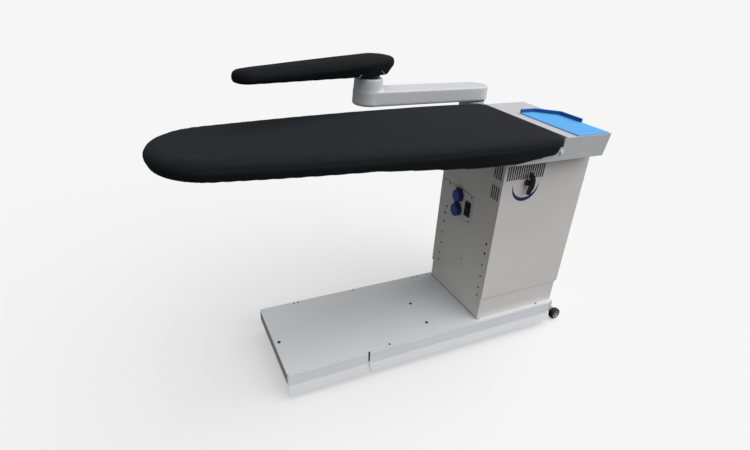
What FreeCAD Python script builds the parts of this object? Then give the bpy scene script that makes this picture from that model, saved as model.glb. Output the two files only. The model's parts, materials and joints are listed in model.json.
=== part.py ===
import FreeCAD, Part
import math
import os
import re
import Sketcher

# Ironing table with a suction board, a lifting column, foot pedals and a swinging sleeve board.
# Millimetres. X runs along the board (nose at -X), Y away from the user, Z up.
# The origin is on the floor, under the middle of the overall length and width.

SIZES = {
    # Base
    "base_length": 1130, "base_width": 370, "base_top": 100, "base_side": 41, "base_sheet": 2,
    "base_corner": 8, "base_hole": 4.5, "edge_hole": 2.2, "edge_hole_inset": 7,
    "base_screw_left": -190, "base_screw_right": 479,
    "base_screw_inset": 9.5, "base_screw_head": 3.5, "base_screw_height": 1.6,
    "end_hole_inset": 18, "end_hole_y": -20, "mid_hole_x": -4, "mid_hole_far": 13, "mid_hole_near": -113,
    "cross_width": 44, "cross_height": 38, "cross_sheet": 2.5, "cross_inset": 45, "cross_end_gap": 3,
    "foot_inset": 45, "pad_radius": 26, "pad_neck": 15, "pad_rim": 6, "pad_height": 16,
    "stud_radius": 6, "stud_length": 66, "nut_radius": 11, "nut_height": 8,
    # Pedals
    "pedal_sheet": 2, "pedal_gap": 2, "pedal_fold": 51, "lip_out": 16, "lip_bottom": 27,
    "pedal_left": 2, "pedal_right": 22, "pedal_split": 290, "split_gap": 6,
    "pedal_reach": 103, "pedal_axis": 72, "rod_radius": 6, "rod_length": 1092,
    "arm_plate": 5, "arm_inset": 80, "arm_depth": 26, "eye_radius": 11, "arm_slot_gap": 3,
    "switch_length": 50, "switch_width": 20, "switch_drop": 26, "switch_behind": 36,
    # Wheels
    "wheel_radius": 24, "wheel_width": 22, "wheel_out": 30, "wheel_lift": 1.5, "wheel_proud": 3,
    "hub_radius": 15, "tyre_round": 4, "axle_radius": 4, "axle_head": 7, "axle_depth": 15,
    "bracket_sheet": 4, "bracket_rise": 10, "bracket_drop": 12, "hub_step": 2,
    # Column
    "column_left": 188, "column_right": 563, "column_near": 170, "column_far": 180, "cover_sheet": 1.5,
    "slide_gap": 1, "plinth_short": 6.5, "plinth_behind": 8, "seam_height": 195,
    "rear_skirt": 21, "plinth_height": 300,
    "panel_flange": 12, "panel_top": 742,
    "vent_width": 4.6, "vent_pitch": 9.5, "front_vents": 17, "front_vent_start": 200.7,
    "front_vent_low": 672.5, "front_vent_tall": 50, "side_vents": 4, "side_vent_edge": 11,
    "side_vent_pitch": 10.9, "side_vent_low": 595, "side_vent_high": 670.5, "side_vent_tall": 50,
    "apron_low": 575, "apron_edge": 5,
    # Lift guide
    "rail_bolt_near": -143, "rail_bolt_far": 131, "rail_low": 190, "rail_length": 255, "rail_wall": 3,
    "rail_width": 40, "rail_deep": 25, "rail_lip": 8, "rail_flange": 21, "bolt_edge": 10,
    "post_gap": 0.3, "post_low": 200, "gas_show": 34, "crossbar_tall": 30, "crossbar_wall": 5,
    "crossbar_reach": 60, "crossbar_foot": 60,
    "gas_x": 244, "gas_y": -16, "gas_radius": 14, "gas_bore": 12, "gas_length": 316, "gas_foot": 56,
    "gas_plate": 5, "gas_cap": 12, "gas_rod": 5, "gas_inside": 190, "piston_height": 14, "gas_fit": 0.1,
    "bolt_low": 200, "bolt_second": 234, "bolt_third": 283, "bolt_high": 332,
    "hole_low": 382, "hole_high": 420,
    "bolt_radius": 2.5, "bolt_head": 3.4, "head_height": 1.8, "panel_hole": 3.5,
    "big_head": 6.5, "lone_hole_y": -16, "lone_hole_z": 288,
    # Sockets and switch
    "hatch_sheet": 2, "hatch_near": -33, "hatch_far": 168, "hatch_low": 446, "hatch_high": 557.5,
    "hatch_lap": 10, "hatch_screw_near": -23, "hatch_screw_far": 121, "hatch_screw_inset": 7,
    "socket_y": 48.5, "socket_upper": 531.5, "socket_lower": 473, "socket_radius": 24, "socket_front": 13,
    "barrel_radius": 21, "barrel_depth": 19, "well_radius": 19.2, "well_depth": 17, "contact_hole": 2.6,
    "contact_half": 9.5, "socket_fit": 0.3, "lid_thick": 6, "lid_rise": 27.5, "knuckle_radius": 3.2,
    "knuckle_width": 12, "lug_width": 4, "lug_gap": 0.4, "hinge_pin": 1.5, "hinge_fit": 0.05,
    "scallops": 16, "scallop_radius": 2, "scallop_depth": 0.7,
    "power_y": -11.5, "power_z": 500, "power_width": 30, "power_tall": 57, "power_front": 6,
    "power_body_width": 21, "power_body_tall": 46, "power_depth": 18, "window_width": 19, "window_tall": 38,
    "rocker_gap": 0.5, "rocker_tall": 34, "rocker_angle": 9, "rocker_deep": 9, "rocker_axle": 1.6,
    # Air: lever, flap, fan, ducts
    "lever_x": 289, "lever_z": 659.5, "shaft_radius": 6, "shaft_fit": 0.1, "hub_round": 10, "hub_length": 11,
    "handle_length": 78, "handle_width": 17, "handle_thick": 13, "handle_round": 3, "handle_tip": 5,
    "handle_bow": 10,
    "box_half": 60, "box_depth": 150, "box_low": 596, "box_sheet": 2, "flap_half": 50, "flap_plate": 3,
    "flap_sleeve": 9, "flap_gap": 3, "air_hole": 46,
    "fan_radius": 98, "fan_width": 70, "fan_z": 650, "fan_sheet": 2, "fan_mouth": 45, "outlet_tall": 34,
    "outlet_width": 70, "impeller_radius": 84, "impeller_width": 46, "blade_count": 10, "blade_plate": 3,
    "blade_inner": 40, "hub_outer": 16, "back_plate": 3, "impeller_gap": 8,
    "motor_radius": 54, "motor_length": 92, "motor_cap": 40, "motor_neck": 14, "fan_axle": 6,
    "duct_radius": 36, "duct_wall": 2, "duct_x": 309,
    # Tray
    "tray_left": 176, "tray_end": 570, "tray_slope": 16, "tray_width": 450, "tray_top": 825,
    "tray_bottom": 749, "wing_post": 361.5, "tray_screw_x": 356, "tray_screw_z": 779,
    "screw_radius": 2.5, "screw_head": 6.5, "screw_height": 6, "tray_sheet": 2, "shelf_top": 757,
    "floor_plate": 4, "board_gap": 2,
    # Iron rest
    "rest_left": 420, "rest_right": 562, "rest_near": -221, "rest_far": 69, "rest_thick": 4,
    "rest_corner_x": 487, "rest_corner_y": 5, "rim_height": 18, "rim_wall": 7, "rim_end": -100,
    # Board
    "board_length": 1250, "board_overhang": 12, "board_right": 374, "board_top": 832, "nose_radius": 170,
    "side_radius": 5300, "corner_radius": 50, "cover_wall": 17, "cover_top": 6.5, "cover_round": 20,
    "cover_draw": 22, "waist_height": 803, "nose_under": 781, "slope_start": -290, "slope_end": 70,
    "hem_start": 180, "hem_rise_x": 337, "hem_rise": 775, "hem_end_x": 352, "hem_end": 795,
    "pan_sheet": 1.5, "pad_thick": 10, "grille_plate": 2, "fit_gap": 0.4, "grille_hole": 5,
    "hole_rows": 3, "hole_columns": 9, "hole_pitch": 100, "row_pitch": 90, "first_hole": 170,
    # Swing arm
    "arm_behind": 62, "arm_post_x": 355, "arm_boss_x": -110, "arm_low": 835, "arm_high": 889, "arm_half": 55,
    "arm_round": 4, "arm_under_round": 9, "arm_wall": 10, "arm_roof": 4, "arm_lid": 4, "boss_wall": 8,
    "boss_blend": 5, "boss_high": 930, "boss_foot": 57, "boss_head": 51,
    "boss_bore": 30, "boss_round": 5, "post_radius": 50, "post_wall": 4, "spigot_radius": 40,
    "spigot_rise": 30, "washer_thick": 3, "turn_fit": 0.06,
    "duct_box_left": 268, "duct_box_right": 408, "duct_box_depth": 120, "duct_box_low": 606,
    "duct_box_wall": 3, "duct_box_high": 752, "lug_plate_high": 815,
    # Sleeve board
    "sleeve_nose": 554, "sleeve_tail": 97, "sleeve_low": 942, "sleeve_high": 1002, "sleeve_nose_half": 38,
    "sleeve_tail_half": 64, "sleeve_tail_corner": 60, "sleeve_under_nose": 970, "sleeve_angle": 23.1,
    "sleeve_wall": 9, "sleeve_waist": 977, "sleeve_draw": 22, "sleeve_round": 16, "sleeve_top_wall": 6,
    "sleeve_pad_thick": 6, "sleeve_sheet": 1.5, "swivel_wall": 4, "swivel_drop": 40, "swivel_ring": 40,
    "clip_wire": 2.4, "clip_left": -93.6, "clip_left_y": 44.2, "clip_left_z": 949.2, "clip_left_run": 6.5,
    "clip_left_rise": 4.5, "clip_right": 15, "clip_right_y": 53.4, "clip_right_z": 954.1,
    "clip_right_run": 11.6, "clip_right_rise": -7.5,
    # Fits
    "seat_gap": 0.3,
}

doc = FreeCAD.newDocument("ironing_table")
sheet = doc.addObject("Spreadsheet::Sheet", "sizes")
for row, (alias, size) in enumerate(SIZES.items(), start=1):
    sheet.set("A%d" % row, alias)
    sheet.set("B%d" % row, str(size))
    sheet.setAlias("B%d" % row, alias)
doc.recompute()

BOARD_WIDTH = "(tray_width + 2 * board_overhang)"
ARM_Y = "(tray_width / 2 + arm_behind)"
CROSSBAR_LOW = "(base_top + gas_plate + gas_length + gas_show)"
MIDDLE_X = "(board_right - board_length + base_length / 2 + wheel_out + wheel_radius) / 2"
SLEEVE_REACH = ("(sleeve_tail - sleeve_tail_corner) * sin(sleeve_angle)"
                " + (sleeve_tail_half - sleeve_tail_corner) * cos(sleeve_angle) + sleeve_tail_corner")
MIDDLE_Y = "(%s + %s - (%s) / 2) / 2" % (ARM_Y, SLEEVE_REACH, BOARD_WIDTH)

WORD = re.compile(r"[a-z][a-z0-9_]*")
TURN = {"Z": (0, 0, 1, 0), "Y": (1, 0, 0, -90), "X": (0, 1, 0, 90)}
nodes = []


# Helpers: expressions and placing

def cells(expression):
    """The expression with every size name pointed at its cell."""
    def point(found):
        name = found.group(0)
        return "sizes." + name if name in SIZES else name
    return WORD.sub(point, str(expression))


def number(expression):
    """The value of an expression of sizes."""
    return float(sheet.evalExpression(str(expression)))


def bind(thing, **properties):
    for name, expression in properties.items():
        thing.setExpression(name, cells(expression))


def place(thing, x="0", y="0", z="0"):
    for axis, expression in zip("xyz", (x, y, z)):
        thing.setExpression("Placement.Base." + axis, cells(expression))


def node(piece, label):
    """Names a finished sub-part, which is written to its own file."""
    piece.Label = label
    nodes.append(piece)
    return piece


# Helpers: Part primitives

def box(x0, x1, y0, y1, z0, z1):
    solid = doc.addObject("Part::Box", "block")
    bind(solid, Length="(%s) - (%s)" % (x1, x0), Width="(%s) - (%s)" % (y1, y0),
         Height="(%s) - (%s)" % (z1, z0))
    place(solid, x0, y0, z0)
    return solid


def rod(radius, length, x="0", y="0", z="0", along="Z"):
    solid = doc.addObject("Part::Cylinder", "rod")
    bind(solid, Radius=radius, Height=length)
    ax, ay, az, angle = TURN[along]
    solid.Placement = FreeCAD.Placement(FreeCAD.Vector(), FreeCAD.Rotation(FreeCAD.Vector(ax, ay, az), angle))
    place(solid, x, y, z)
    return solid


def hexagon(radius, height, x, y, z):
    solid = doc.addObject("Part::Prism", "nut")
    solid.Polygon = 6
    bind(solid, Circumradius=radius, Height=height)
    place(solid, x, y, z)
    return solid


def fuse(*pieces):
    joined = doc.addObject("Part::MultiFuse", "joined")
    joined.Shapes = list(pieces)
    return joined


def cut(base, *tools):
    result = doc.addObject("Part::Cut", "cut")
    result.Base = base
    result.Tool = tools[0] if len(tools) == 1 else fuse(*tools)
    return result


def common(first, second):
    result = doc.addObject("Part::Common", "common")
    result.Base = first
    result.Tool = second
    return result


def group(*pieces):
    together = doc.addObject("Part::Compound", "group")
    together.Links = list(pieces)
    return together


# Helpers: sketches and bodies

def body(label):
    piece = doc.addObject("PartDesign::Body", label)
    return node(piece, label)


def sketch(piece, role="XY_Plane", offset="0"):
    drawing = piece.newObject("Sketcher::SketchObject", piece.Name + "_sketch")
    plane = next(item for item in piece.Origin.OriginFeatures if item.Role == role)
    drawing.AttachmentSupport = [(plane, "")]
    drawing.MapMode = "FlatFace"
    drawing.setExpression("AttachmentOffset.Base.z", cells(offset))
    return drawing


def free_sketch(z="0", upright=False):
    """A sketch of its own, flat at height z or upright in the XZ plane."""
    drawing = doc.addObject("Sketcher::SketchObject", "outline")
    if upright:
        turn = FreeCAD.Rotation(FreeCAD.Vector(1, 0, 0), 90)
        drawing.Placement = FreeCAD.Placement(FreeCAD.Vector(), turn)
    else:
        place(drawing, z=z)
    return drawing


def fix(drawing, kind, expression, *where):
    """Adds a dimension whose value is an expression of sizes."""
    index = drawing.addConstraint(Sketcher.Constraint(kind, *where, number(expression)))
    drawing.setExpression("Constraints[%d]" % index, cells(expression))


def fix_point(drawing, x, y, geometry, position):
    fix(drawing, "DistanceX", x, -1, 1, geometry, position)
    fix(drawing, "DistanceY", y, -1, 1, geometry, position)


def polygon(drawing, points):
    spots = [FreeCAD.Vector(number(x), number(y), 0) for x, y in points]
    count = len(points)
    first = drawing.GeometryCount
    for i in range(count):
        drawing.addGeometry(Part.LineSegment(spots[i], spots[(i + 1) % count]), False)
    for i in range(count):
        drawing.addConstraint(Sketcher.Constraint("Coincident", first + i, 2, first + (i + 1) % count, 1))
        fix_point(drawing, *points[i], first + i, 1)
    return drawing


def rectangle(drawing, x0, x1, y0, y1):
    return polygon(drawing, [(x0, y0), (x1, y0), (x1, y1), (x0, y1)])


def circle(drawing, x, y, radius):
    centre = FreeCAD.Vector(number(x), number(y), 0)
    index = drawing.addGeometry(Part.Circle(centre, FreeCAD.Vector(0, 0, 1), number(radius)), False)
    fix(drawing, "Radius", radius, index)
    fix_point(drawing, x, y, index, 3)
    return drawing


def arc(drawing, centre, radius, start, end):
    """An anticlockwise arc about a centre, from angle start to angle end in radians."""
    ring = Part.Circle(FreeCAD.Vector(*centre, 0), FreeCAD.Vector(0, 0, 1), radius)
    return drawing.addGeometry(Part.ArcOfCircle(ring, start, end), False)


def line(drawing, start, end):
    return drawing.addGeometry(Part.LineSegment(FreeCAD.Vector(*start, 0), FreeCAD.Vector(*end, 0)), False)


def smooth_chain(drawing, chain):
    """Joins each piece of a closed outline to the next with a tangent point."""
    for (one, end), (other, start) in zip(chain, chain[1:] + chain[:1]):
        drawing.addConstraint(Sketcher.Constraint("Tangent", one, end[1], other, start[0]))


def feature(piece, kind, drawing, length, back=False):
    made = piece.newObject("PartDesign::" + kind, piece.Name + "_" + kind.lower())
    made.Profile = drawing
    bind(made, Length=length)
    made.Reversed = back
    return made


def pad(piece, drawing, length, back=False):
    return feature(piece, "Pad", drawing, length, back)


def pocket(piece, drawing, depth, back=False):
    """Cuts against the sketch's normal, or along it with back; a cut that removes nothing is an error."""
    doc.recompute()
    before = piece.Shape.Volume
    made = feature(piece, "Pocket", drawing, depth, back)
    doc.recompute()
    if piece.Shape.Volume > before - 1e-6:
        raise RuntimeError("a pocket of %s cuts nothing" % piece.Label)
    return made


def revolve(piece, drawing, axis="V_Axis", kind="Revolution"):
    made = piece.newObject("PartDesign::" + kind, piece.Name + "_turned")
    made.Profile = drawing
    made.ReferenceAxis = (drawing, [axis])
    made.Angle = 360
    return made


def row_of(piece, original, drawing, axis, pitch, count):
    pattern = piece.newObject("PartDesign::LinearPattern", piece.Name + "_row")
    pattern.Originals = [original]
    pattern.Direction = (drawing, [axis])
    bind(pattern, Length="(%s) * ((%s) - 1)" % (pitch, count), Occurrences=count)
    piece.Tip = pattern
    doc.recompute()
    return pattern


def edges_where(shape, test):
    """Names of the edges whose every point passes the test."""
    names = []
    for i, edge in enumerate(shape.Edges, start=1):
        spots = [vertex.Point for vertex in edge.Vertexes] + [edge.valueAt(edge.FirstParameter)]
        spots.append(edge.valueAt((edge.FirstParameter + edge.LastParameter) / 2))
        if all(test(spot) for spot in spots):
            names.append("Edge%d" % i)
    return names


def round_edges(piece, radius, test):
    """A fillet on a body's edges that pass the test."""
    doc.recompute()
    base = piece.Tip
    names = edges_where(base.Shape, test)
    made = piece.newObject("PartDesign::Fillet", piece.Name + "_round")
    made.Base = (base, names)
    bind(made, Radius=radius)
    return made


def round_solid(solid, radius, test):
    """A fillet on a Part solid's edges that pass the test."""
    doc.recompute()
    made = doc.addObject("Part::Fillet", "rounded")
    made.Base = solid
    size = number(radius)
    names = edges_where(solid.Shape, test)
    made.Edges = [(int(name[4:]), size, size) for name in names]
    return made


def at_height(expression):
    level = number(expression)
    return lambda spot: abs(spot.z - level) < 1e-4


def extrude(drawing, direction, length):
    solid = doc.addObject("Part::Extrusion", "extrusion")
    solid.Base = drawing
    solid.DirMode = "Custom"
    solid.Dir = FreeCAD.Vector(*direction)
    solid.Solid = True
    bind(solid, LengthFwd=length)
    return solid


def loft(*drawings):
    solid = doc.addObject("Part::Loft", "loft")
    solid.Sections = list(drawings)
    solid.Solid = True
    solid.Ruled = True
    return solid


# Base: a folded plate on cross members with levelling feet

NEAR_WALL = "-(base_width / 2 - pedal_sheet - pedal_gap)"
BASE_LOW = "base_top - base_side"
CROSS_LOW = "base_top - base_sheet - cross_height"
CROSS_XS = ["-base_length / 2 + cross_inset", "-base_length / 2 + pedal_split",
            "base_length / 2 - cross_inset"]
EDGE_HOLES = (-434, -417, -183, 98, 117.5, 169)
PEDAL_FACE = "-base_width / 2"
ROD_Y = "-base_width / 2 + pedal_sheet + pedal_reach"
SHORT_PEDAL = ("-base_length / 2 + pedal_left", "-base_length / 2 + pedal_split - split_gap / 2")
LONG_PEDAL = ("-base_length / 2 + pedal_split + split_gap / 2", "base_length / 2 - pedal_right")


def pedal_arm_xs(span):
    return ["%s + arm_inset" % span[0], "%s - arm_inset" % span[1]]


def make_base_plate():
    piece = body("base_plate")
    outer = sketch(piece, offset=BASE_LOW)
    rectangle(outer, "-base_length / 2", "base_length / 2", NEAR_WALL, "base_width / 2")
    pad(piece, outer, "base_side")
    half, near, far = number("base_length / 2"), number(NEAR_WALL), number("base_width / 2")
    round_edges(piece, "base_corner", lambda spot: abs(abs(spot.x) - half) < 1e-4
                and min(abs(spot.y - near), abs(spot.y - far)) < 1e-4)
    inner = sketch(piece, offset=BASE_LOW)
    rectangle(inner, "-base_length / 2 + base_sheet", "base_length / 2 - base_sheet",
              NEAR_WALL + " + base_sheet", "base_width / 2 - base_sheet")
    pocket(piece, inner, "base_side - base_sheet", back=True)
    holes = sketch(piece, offset="base_top")
    circle(holes, "-base_length / 2 + end_hole_inset", "end_hole_y", "base_hole")
    circle(holes, "mid_hole_x", "mid_hole_far", "base_hole")
    circle(holes, "mid_hole_x", "mid_hole_near", "base_hole")
    for x in EDGE_HOLES:
        circle(holes, str(x), "base_width / 2 - edge_hole_inset", "edge_hole")
    pocket(piece, holes, "base_sheet")
    slots = sketch(piece, "XZ_Plane", "-(%s)" % NEAR_WALL)
    for x in pedal_arm_xs(SHORT_PEDAL) + pedal_arm_xs(LONG_PEDAL):
        rectangle(slots, x + " - arm_plate / 2 - arm_slot_gap", x + " + arm_plate / 2 + arm_slot_gap",
                  BASE_LOW, "pedal_axis + arm_depth / 2 + arm_slot_gap")
    pocket(piece, slots, "base_sheet")
    return piece


def make_cross_members():
    members = []
    for i, x in enumerate(CROSS_XS):
        near = NEAR_WALL + " + base_sheet + cross_end_gap"
        far = "base_width / 2 - base_sheet - cross_end_gap"
        left, right = x + " - cross_width / 2", x + " + cross_width / 2"
        outer = box(left, right, near, far, CROSS_LOW, "base_top - base_sheet")
        inner = box(left + " + cross_sheet", right + " - cross_sheet", near, far,
                    CROSS_LOW + " + cross_sheet", "base_top - base_sheet")
        holes = [rod("rod_radius + shaft_fit", "cross_width", left, ROD_Y, "pedal_axis", "X")]
        if i != 1:
            holes += [rod("stud_radius + slide_gap", "cross_height", x, y, CROSS_LOW) for y in FOOT_YS]
        members.append(cut(outer, inner, *holes))
    return node(group(*members), "cross_members")


FOOT_YS = ["-base_width / 2 + foot_inset", "base_width / 2 - foot_inset"]
FOOT_SPOTS = [(x, y) for x in (CROSS_XS[0], CROSS_XS[2]) for y in FOOT_YS]


def make_feet():
    pads = []
    studs = []
    for x, y in FOOT_SPOTS:
        cone = doc.addObject("Part::Cone", "pad_top")
        bind(cone, Radius1="pad_radius", Radius2="pad_neck", Height="pad_height - pad_rim")
        place(cone, x, y, "pad_rim")
        pads.append(fuse(rod("pad_radius", "pad_rim", x, y), cone))
        low_nut = hexagon("nut_radius", "nut_height", x, y, CROSS_LOW + " - nut_height")
        high_nut = hexagon("nut_radius", "nut_height", x, y, CROSS_LOW + " + cross_sheet")
        studs.append(fuse(rod("stud_radius", "stud_length", x, y, "pad_height"), low_nut, high_nut))
    node(group(*pads), "foot_pads")
    node(group(*studs), "foot_studs")


# Pedals: a folded bar with two welded arms on the pedal rod

def make_pedal(label, span):
    piece = body(label)
    bar = sketch(piece, "YZ_Plane", span[0])
    inside = PEDAL_FACE + " + pedal_sheet"
    polygon(bar, [(inside, "base_top"), (PEDAL_FACE, "base_top"), (PEDAL_FACE, "pedal_fold"),
                  (PEDAL_FACE + " - lip_out", "lip_bottom"),
                  (inside + " - lip_out", "lip_bottom"), (inside, "pedal_fold")])
    pad(piece, bar, "(%s) - (%s)" % (span[1], span[0]))
    for x in pedal_arm_xs(span):
        low, high = "pedal_axis - arm_depth / 2", "pedal_axis + arm_depth / 2"
        plate = sketch(piece, "YZ_Plane", x + " - arm_plate / 2")
        polygon(plate, [(PEDAL_FACE + " + pedal_sheet / 2", low), (ROD_Y, "pedal_axis - eye_radius"),
                        (ROD_Y, "pedal_axis + eye_radius"), (PEDAL_FACE + " + pedal_sheet / 2", high)])
        pad(piece, plate, "arm_plate")
        eye = sketch(piece, "YZ_Plane", x + " - arm_plate / 2")
        circle(eye, ROD_Y, "pedal_axis", "eye_radius")
        pad(piece, eye, "arm_plate")
        hole = sketch(piece, "YZ_Plane", x + " - arm_plate / 2")
        circle(hole, ROD_Y, "pedal_axis", "rod_radius + shaft_fit")
        pocket(piece, hole, "arm_plate", back=True)
    return piece


def make_pedal_rod():
    return node(rod("rod_radius", "rod_length", "-rod_length / 2", ROD_Y, "pedal_axis", "X"), "pedal_rod")


def make_base_screws():
    heads = [rod("base_screw_head", "base_screw_height", x, NEAR_WALL + " + base_screw_inset", "base_top")
             for x in ("base_screw_left", "base_screw_right")]
    return node(group(*heads), "base_screws")


def make_pedal_switches():
    """Two small switch blocks under the base plate, each behind a pedal's first arm."""
    blocks = []
    for span in (SHORT_PEDAL, LONG_PEDAL):
        x = pedal_arm_xs(span)[0]
        y = ROD_Y + " + switch_behind"
        blocks.append(box(x + " - switch_width / 2", x + " + switch_width / 2", y, y + " + switch_length",
                          "base_top - base_sheet - switch_drop", "base_top - base_sheet"))
    return node(group(*blocks), "pedal_switches")


# Transport wheels on plates at the end of the base

WHEEL_X = "base_length / 2 + wheel_out"
WHEEL_Z = "wheel_radius + wheel_lift"
WHEEL_FACE = "base_width / 2 + wheel_proud"
WHEEL_BACK = WHEEL_FACE + " - wheel_width"


def make_wheel(side, name):
    """Tyre and hub turned about the axle; side is -1 for the near wheel and +1 for the far one."""
    face, back = "%d * (%s)" % (side, WHEEL_FACE), "%d * (%s)" % (side, WHEEL_BACK)
    tyre = body(name + "_tyre")
    section = sketch(tyre)
    polygon(section, [("hub_radius", back), ("wheel_radius - tyre_round", back),
                      ("wheel_radius", "%s + %d * tyre_round" % (back, side)),
                      ("wheel_radius", "%s - %d * tyre_round" % (face, side)),
                      ("wheel_radius - tyre_round", face), ("hub_radius", face)])
    revolve(tyre, section)
    hub = body(name + "_hub")
    section = sketch(hub)
    inset = "%s - %d * hub_step" % (face, side)
    mouth = "%s + %d * axle_depth" % (back, side)
    polygon(section, [("axle_radius + turn_fit", back), ("hub_radius - hub_step", back),
                      ("hub_radius", "%s + %d * hub_step" % (back, side)), ("hub_radius", face),
                      ("hub_radius - hub_step", face), ("hub_radius - 2 * hub_step", inset),
                      ("axle_head + hub_step", inset), ("axle_head", face), ("0", face), ("0", mouth),
                      ("axle_radius + turn_fit", mouth)])
    revolve(hub, section)
    for piece in (tyre, hub):
        place(piece, WHEEL_X, "0", WHEEL_Z)


def make_wheel_carriers():
    plates = []
    axles = []
    for side in (-1, 1):
        plate = doc.addObject("PartDesign::Body", "wheel_plate")
        inner = "%d * (%s - seat_gap - bracket_sheet)" % (side, WHEEL_BACK)
        outer = "%d * (%s - seat_gap)" % (side, WHEEL_BACK)
        start = outer if side < 0 else inner
        drawing = sketch(plate, "XZ_Plane", "-(%s) - bracket_sheet" % start)
        polygon(drawing, [("base_length / 2", BASE_LOW), ("base_length / 2", BASE_LOW + " + bracket_rise"),
                          (WHEEL_X + " + bracket_drop", WHEEL_Z + " + bracket_drop"),
                          (WHEEL_X + " + bracket_drop", WHEEL_Z + " - bracket_drop"),
                          (WHEEL_X + " - bracket_drop", WHEEL_Z + " - bracket_drop")])
        pad(plate, drawing, "bracket_sheet")
        hole = sketch(plate, "XZ_Plane", "-(%s) - bracket_sheet" % start)
        circle(hole, WHEEL_X, WHEEL_Z, "axle_radius + turn_fit")
        pocket(plate, hole, "bracket_sheet", back=True)
        plates.append(plate)
        shank = "axle_depth + seat_gap + bracket_sheet - hub_step"
        head = "axle_head - hub_step"
        shank_y = inner if side > 0 else "%s - (%s)" % (inner, shank)
        head_y = "%s - (%s)" % (inner, head) if side > 0 else inner
        axles.append(fuse(rod("axle_radius", shank, WHEEL_X, shank_y, WHEEL_Z, "Y"),
                          rod("axle_head", head, WHEEL_X, head_y, WHEEL_Z, "Y")))
    node(group(*plates), "wheel_brackets")
    node(group(*axles), "wheel_axles")


# Column: fixed side panel and plinth, and the cover that lifts round them

PANEL_NEAR = "-(column_near - cover_sheet - slide_gap)"
PANEL_FAR = "(column_far - cover_sheet - plinth_behind)"
PANEL_INSIDE = "column_left + cover_sheet"
FLANGE_END = "column_left + cover_sheet + panel_flange"


def side_vent_cuts(piece, plane_x, depth):
    """The two groups of upright slots near the panel's front edge."""
    for low in ("side_vent_low", "side_vent_high"):
        drawing = sketch(piece, "YZ_Plane", plane_x)
        first = PANEL_NEAR + " + side_vent_edge"
        rectangle(drawing, first, first + " + vent_width", low, low + " + side_vent_tall")
        slot = pocket(piece, drawing, depth)
        row_of(piece, slot, drawing, "H_Axis", "side_vent_pitch", "side_vents")


def make_side_panel():
    piece = body("side_panel")
    plan = sketch(piece, offset="base_top")
    near, far = PANEL_NEAR, PANEL_FAR
    polygon(plan, [("column_left", near), (FLANGE_END, near), (FLANGE_END, near + " + cover_sheet"),
                   (PANEL_INSIDE, near + " + cover_sheet"), (PANEL_INSIDE, far + " - cover_sheet"),
                   (FLANGE_END, far + " - cover_sheet"), (FLANGE_END, far), ("column_left", far)])
    pad(piece, plan, "panel_top - base_top")
    window = sketch(piece, "YZ_Plane", PANEL_INSIDE)
    rectangle(window, "hatch_near + hatch_lap", "hatch_far - hatch_lap",
              "hatch_low + hatch_lap", "hatch_high - hatch_lap")
    for y in ("rail_bolt_near", "rail_bolt_far"):
        for z in ("hole_low", "hole_high"):
            circle(window, y, z, "panel_hole")
        for z in BOLT_ROWS:
            circle(window, y, z, "bolt_radius + shaft_fit")
    circle(window, "lone_hole_y", "lone_hole_z", "panel_hole")
    pocket(piece, window, "cover_sheet")
    rounds = sketch(piece, "YZ_Plane", PANEL_INSIDE)
    for name, z in SOCKETS:
        circle(rounds, "socket_y", z, "barrel_radius + slide_gap")
    pocket(piece, rounds, "cover_sheet")
    side_vent_cuts(piece, PANEL_INSIDE, "cover_sheet")
    return piece


BOLT_ROWS = ("bolt_low", "bolt_second", "bolt_third", "bolt_high")


def wrap_outline(drawing, left, near, end, far, tail):
    """Plan of a folded wall along front, end and rear; tail lists the corners of its rear left edge."""
    inner_near, inner_end, inner_far = near + " + cover_sheet", end + " - cover_sheet", far + " - cover_sheet"
    polygon(drawing, [(left, near), (end, near), (end, far), (left, far)] + tail
            + [(inner_end, inner_far), (inner_end, inner_near), (left, inner_near)])
    return drawing


def make_plinth():
    piece = body("plinth")
    plan = sketch(piece, offset="base_top")
    left = FLANGE_END + " + seat_gap"
    end = "column_right - cover_sheet - plinth_short"
    wrap_outline(plan, left, PANEL_NEAR, end, PANEL_FAR, [(left, PANEL_FAR + " - cover_sheet")])
    pad(piece, plan, "plinth_height")
    return piece


def make_column_cover():
    piece = body("column_cover")
    plan = sketch(piece, offset="seam_height")
    turned_in = PANEL_FAR + " + slide_gap"
    tail = [("column_left", turned_in), (PANEL_INSIDE, turned_in), (PANEL_INSIDE, "column_far - cover_sheet")]
    wrap_outline(plan, "column_left", "-column_near", "column_right", "column_far", tail)
    pad(piece, plan, "tray_bottom - seam_height")
    skirt = sketch(piece, offset="seam_height")
    polygon(skirt, tail + [("column_right", "column_far - cover_sheet"), ("column_right", "column_far"),
                           ("column_left", "column_far")])
    pad(piece, skirt, "rear_skirt", back=True)
    shaft = sketch(piece, "XZ_Plane", "column_near")
    circle(shaft, "lever_x", "lever_z", "shaft_radius + shaft_fit")
    pocket(piece, shaft, "cover_sheet")
    duct = sketch(piece, "XZ_Plane", "cover_sheet - column_far")
    circle(duct, "duct_x", "lever_z", "duct_radius + seat_gap")
    pocket(piece, duct, "cover_sheet")
    vent = sketch(piece, "XZ_Plane", "column_near")
    rectangle(vent, "front_vent_start", "front_vent_start + vent_width",
              "front_vent_low", "front_vent_low + front_vent_tall")
    slot = pocket(piece, vent, "cover_sheet")
    row_of(piece, slot, vent, "H_Axis", "vent_pitch", "front_vents")
    return piece


def make_inner_apron():
    """The panel that follows the tray up behind the side panel."""
    piece = body("inner_apron")
    face = sketch(piece, "YZ_Plane", PANEL_INSIDE + " + slide_gap")
    rectangle(face, PANEL_NEAR + " + apron_edge", PANEL_FAR + " - apron_edge", "apron_low", "tray_bottom")
    pad(piece, face, "cover_sheet")
    side_vent_cuts(piece, PANEL_INSIDE + " + slide_gap + cover_sheet", "cover_sheet")
    return piece


# Lift guide: channel rails, posts, crossbar and gas spring

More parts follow.
